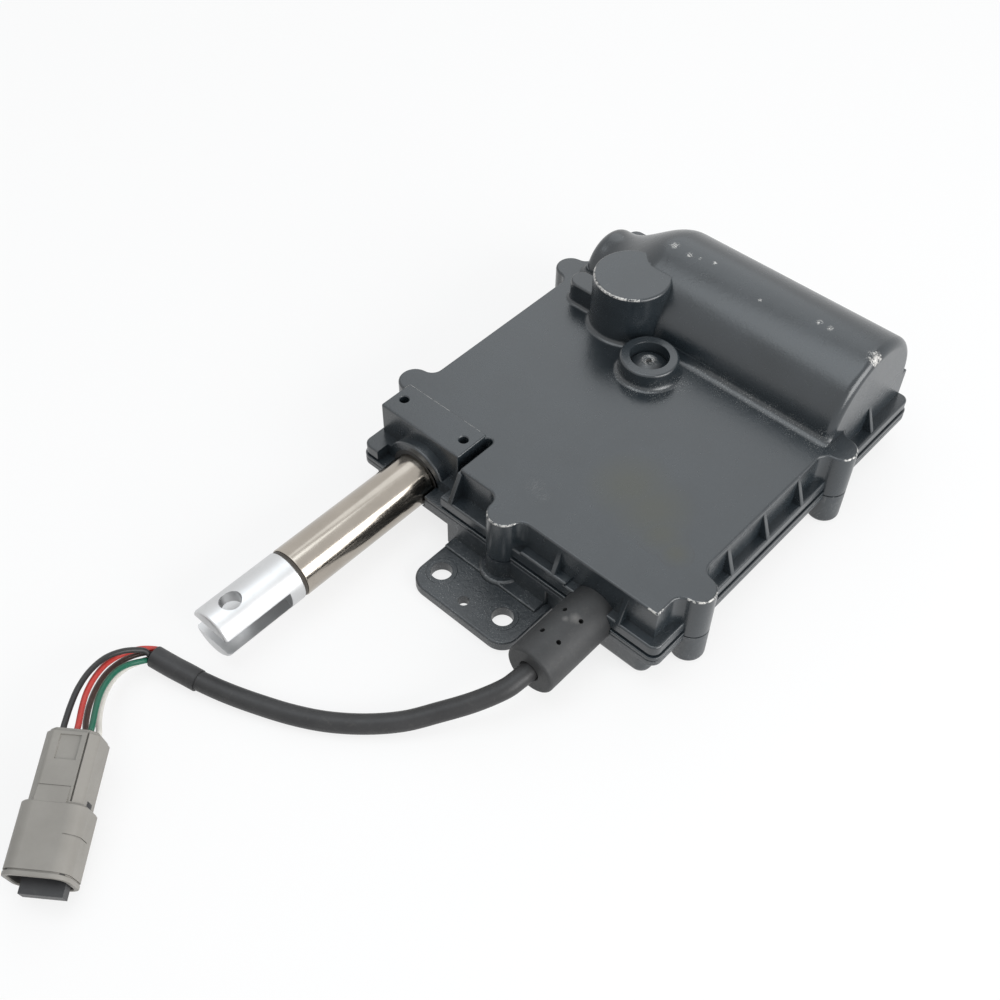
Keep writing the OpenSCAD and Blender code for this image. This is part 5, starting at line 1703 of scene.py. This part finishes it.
WIRES: dict[str, tuple[Colour, Colour, Plan]] = {
    "black": ((0.015, 0.015, 0.015), (0.022, 0.022, 0.022), (0.32, 0.44)),
    "red": ((0.52, 0.045, 0.035), (0.43, 0.036, 0.028), (0.32, 0.44)),
    "brown": ((0.062, 0.033, 0.026), (0.048, 0.027, 0.021), (0.32, 0.44)),
    "green": ((0.008, 0.12, 0.07), (0.006, 0.095, 0.055), (0.32, 0.44)),
    "white": ((0.70, 0.68, 0.63), (0.62, 0.60, 0.55), (0.36, 0.5)),
}


def materials() -> dict[str, Finish]:
    """Make every finish once.

    Returns:
        The materials by name.
    """
    made = [
        CastPaint("cover_paint", chips=CHIPS, rims=RIM_WEAR_AND_HIGHLIGHTS, grit=GRIT, scuffs=SCUFFS, stain=STAIN),
        CastPaint(
            "screw_paint", grain=0.10, rough=(0.3, 0.42), speckle=0.4, chips=HEAD, rims=((*HEAD[0][:3], 1),)
        ),
        CastPaint("tray_paint", grain=0.12, rough=(0.26, 0.40), speckle=0.5),
        Metal(
            "nickel_plate", (0.42, 0.382, 0.335), (0.365, 0.332, 0.29), (0.13, 0.20), (0.4, 8, 8),
            scale=500, relief=0.003, spots=0.12,
        ),  # fmt: skip
        Metal(
            "bare_alloy", (0.62, 0.625, 0.63), (0.55, 0.555, 0.56), (0.34, 0.46), (6, 0.6, 0.6),
            scale=700, relief=0.006, spots=0.12,
        ),  # fmt: skip
        Metal("worn_steel", (0.6, 0.6, 0.58), (0.46, 0.46, 0.45), (0.28, 0.42), (1, 1, 4), 500, 0.01, 0.35),
        Metal("ground_steel", (0.56, 0.56, 0.57), (0.48, 0.48, 0.50), (0.22, 0.34), (8, 1, 1), 500, 0.004),
        Metal("zinc_sheet", (0.50, 0.50, 0.50), (0.40, 0.41, 0.42), (0.30, 0.45), (1, 6, 1), 300, 0.006),
        Metal("turned_brass", (0.62, 0.47, 0.22), (0.54, 0.40, 0.18), (0.24, 0.36), (8, 1, 1), 500, 0.005),
        Metal("dark_ferrite", (0.10, 0.10, 0.10), (0.07, 0.07, 0.07), (0.55, 0.7), (1, 1, 1), 900, 0.02),
        Moulding(
            "grommet_rubber", (0.026, 0.027, 0.028), (0.040, 0.041, 0.042), (0.50, 0.62), 0.04, 1100,
            smudges=SMUDGES,
        ),  # fmt: skip
        Moulding("cable_jacket", (0.020, 0.020, 0.021), (0.030, 0.030, 0.031), (0.40, 0.52), 0.02, 900),
        Moulding("seal_rubber", (0.02, 0.02, 0.02), (0.03, 0.03, 0.03), (0.6, 0.75), 0.03, 1200),
        Moulding("black_plastic", (0.025, 0.025, 0.027), (0.035, 0.035, 0.037), (0.38, 0.5), 0.015, 1500),
        Moulding("green_board", (0.04, 0.20, 0.09), (0.05, 0.24, 0.11), (0.35, 0.5), 0.01, 800),
        Moulding("pale_gear", (0.70, 0.68, 0.60), (0.62, 0.60, 0.52), (0.42, 0.55), 0.02, 900),
        Moulding("ring_rubber", (0.075, 0.065, 0.055), (0.045, 0.04, 0.035), (0.4, 0.55), 0.03, 900),
        Moulding("grey_plastic", (0.265, 0.252, 0.23), (0.225, 0.213, 0.193), (0.46, 0.58), 0.015, 1600),
        # Inside of the connector's mouth: darker grey, partly painted shade in the recess.
        Moulding("socket_grey_and_shade", (0.060, 0.057, 0.053), (0.045, 0.043, 0.040), (0.5, 0.62), 0.015, 1600),
        Moulding("grey_seal", (0.14, 0.135, 0.13), (0.11, 0.105, 0.10), (0.55, 0.7), 0.02, 1200),
        *[Moulding(f"wire_{colour}", *looks, 0.01, 1200) for colour, looks in WIRES.items()],
    ]
    return {finish.name: finish.material() for finish in made}


KEPT: dict[str, str] = {
    "worn_steel": "cover_screws",
    "seal_rubber": "cover_gasket rod_wiper",
    "turned_brass": "guide_bush motor_rear_bush motor_front_bush worm_end_bush drive_nut commutator "
    "connector_pins worm_wheel",
    "ground_steel": "front_bearing rear_bearing motor_shaft drive_worm lead_screw potentiometer_shaft",
    "zinc_sheet": "motor_can motor_armature",
    "bare_alloy": "motor_front_bracket",
    "black_plastic": "motor_end_cap potentiometer_body connector_wedge motor_brushes",
    "dark_ferrite": "motor_magnets",
    "green_board": "terminal_board",
    "pale_gear": "feedback_gear feedback_worm",
    "grey_seal": "connector_seal",
}


def main() -> None:
    """Build the actuator's pieces in order, dress them and light them."""
    logging.basicConfig(level=logging.INFO, format="%(name)s %(message)s")
    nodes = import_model()["nodes"]
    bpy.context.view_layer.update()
    studio = Studio()
    studio.camera()
    finishes = materials()
    sizes = Sizes()
    connector = Connector(finishes["grey_plastic"], finishes["socket_grey_and_shade"])
    shell = connector.build()
    wires = {colour: finishes[f"wire_{colour}"] for colour in WIRES}
    cable = Cable(sizes, finishes["grommet_rubber"], finishes["cable_jacket"], wires)
    cable.build_cords(connector)
    cable.build_grommet()
    cover = Cover(sizes, finishes["cover_paint"])
    cover.build()
    cover.build_screw(finishes["screw_paint"])
    Tray(sizes, finishes["tray_paint"]).build()
    rod = Rod(sizes, finishes["nickel_plate"], finishes["bare_alloy"], finishes["ring_rubber"])
    rod.build_tube()
    rod.build_ring()
    rod.build_clevis()
    InnerWorks(nodes).dress(finishes, KEPT)
    studio.floor()
    studio.light()
    Bench.clear()


if __name__ == "__main__":
    main()
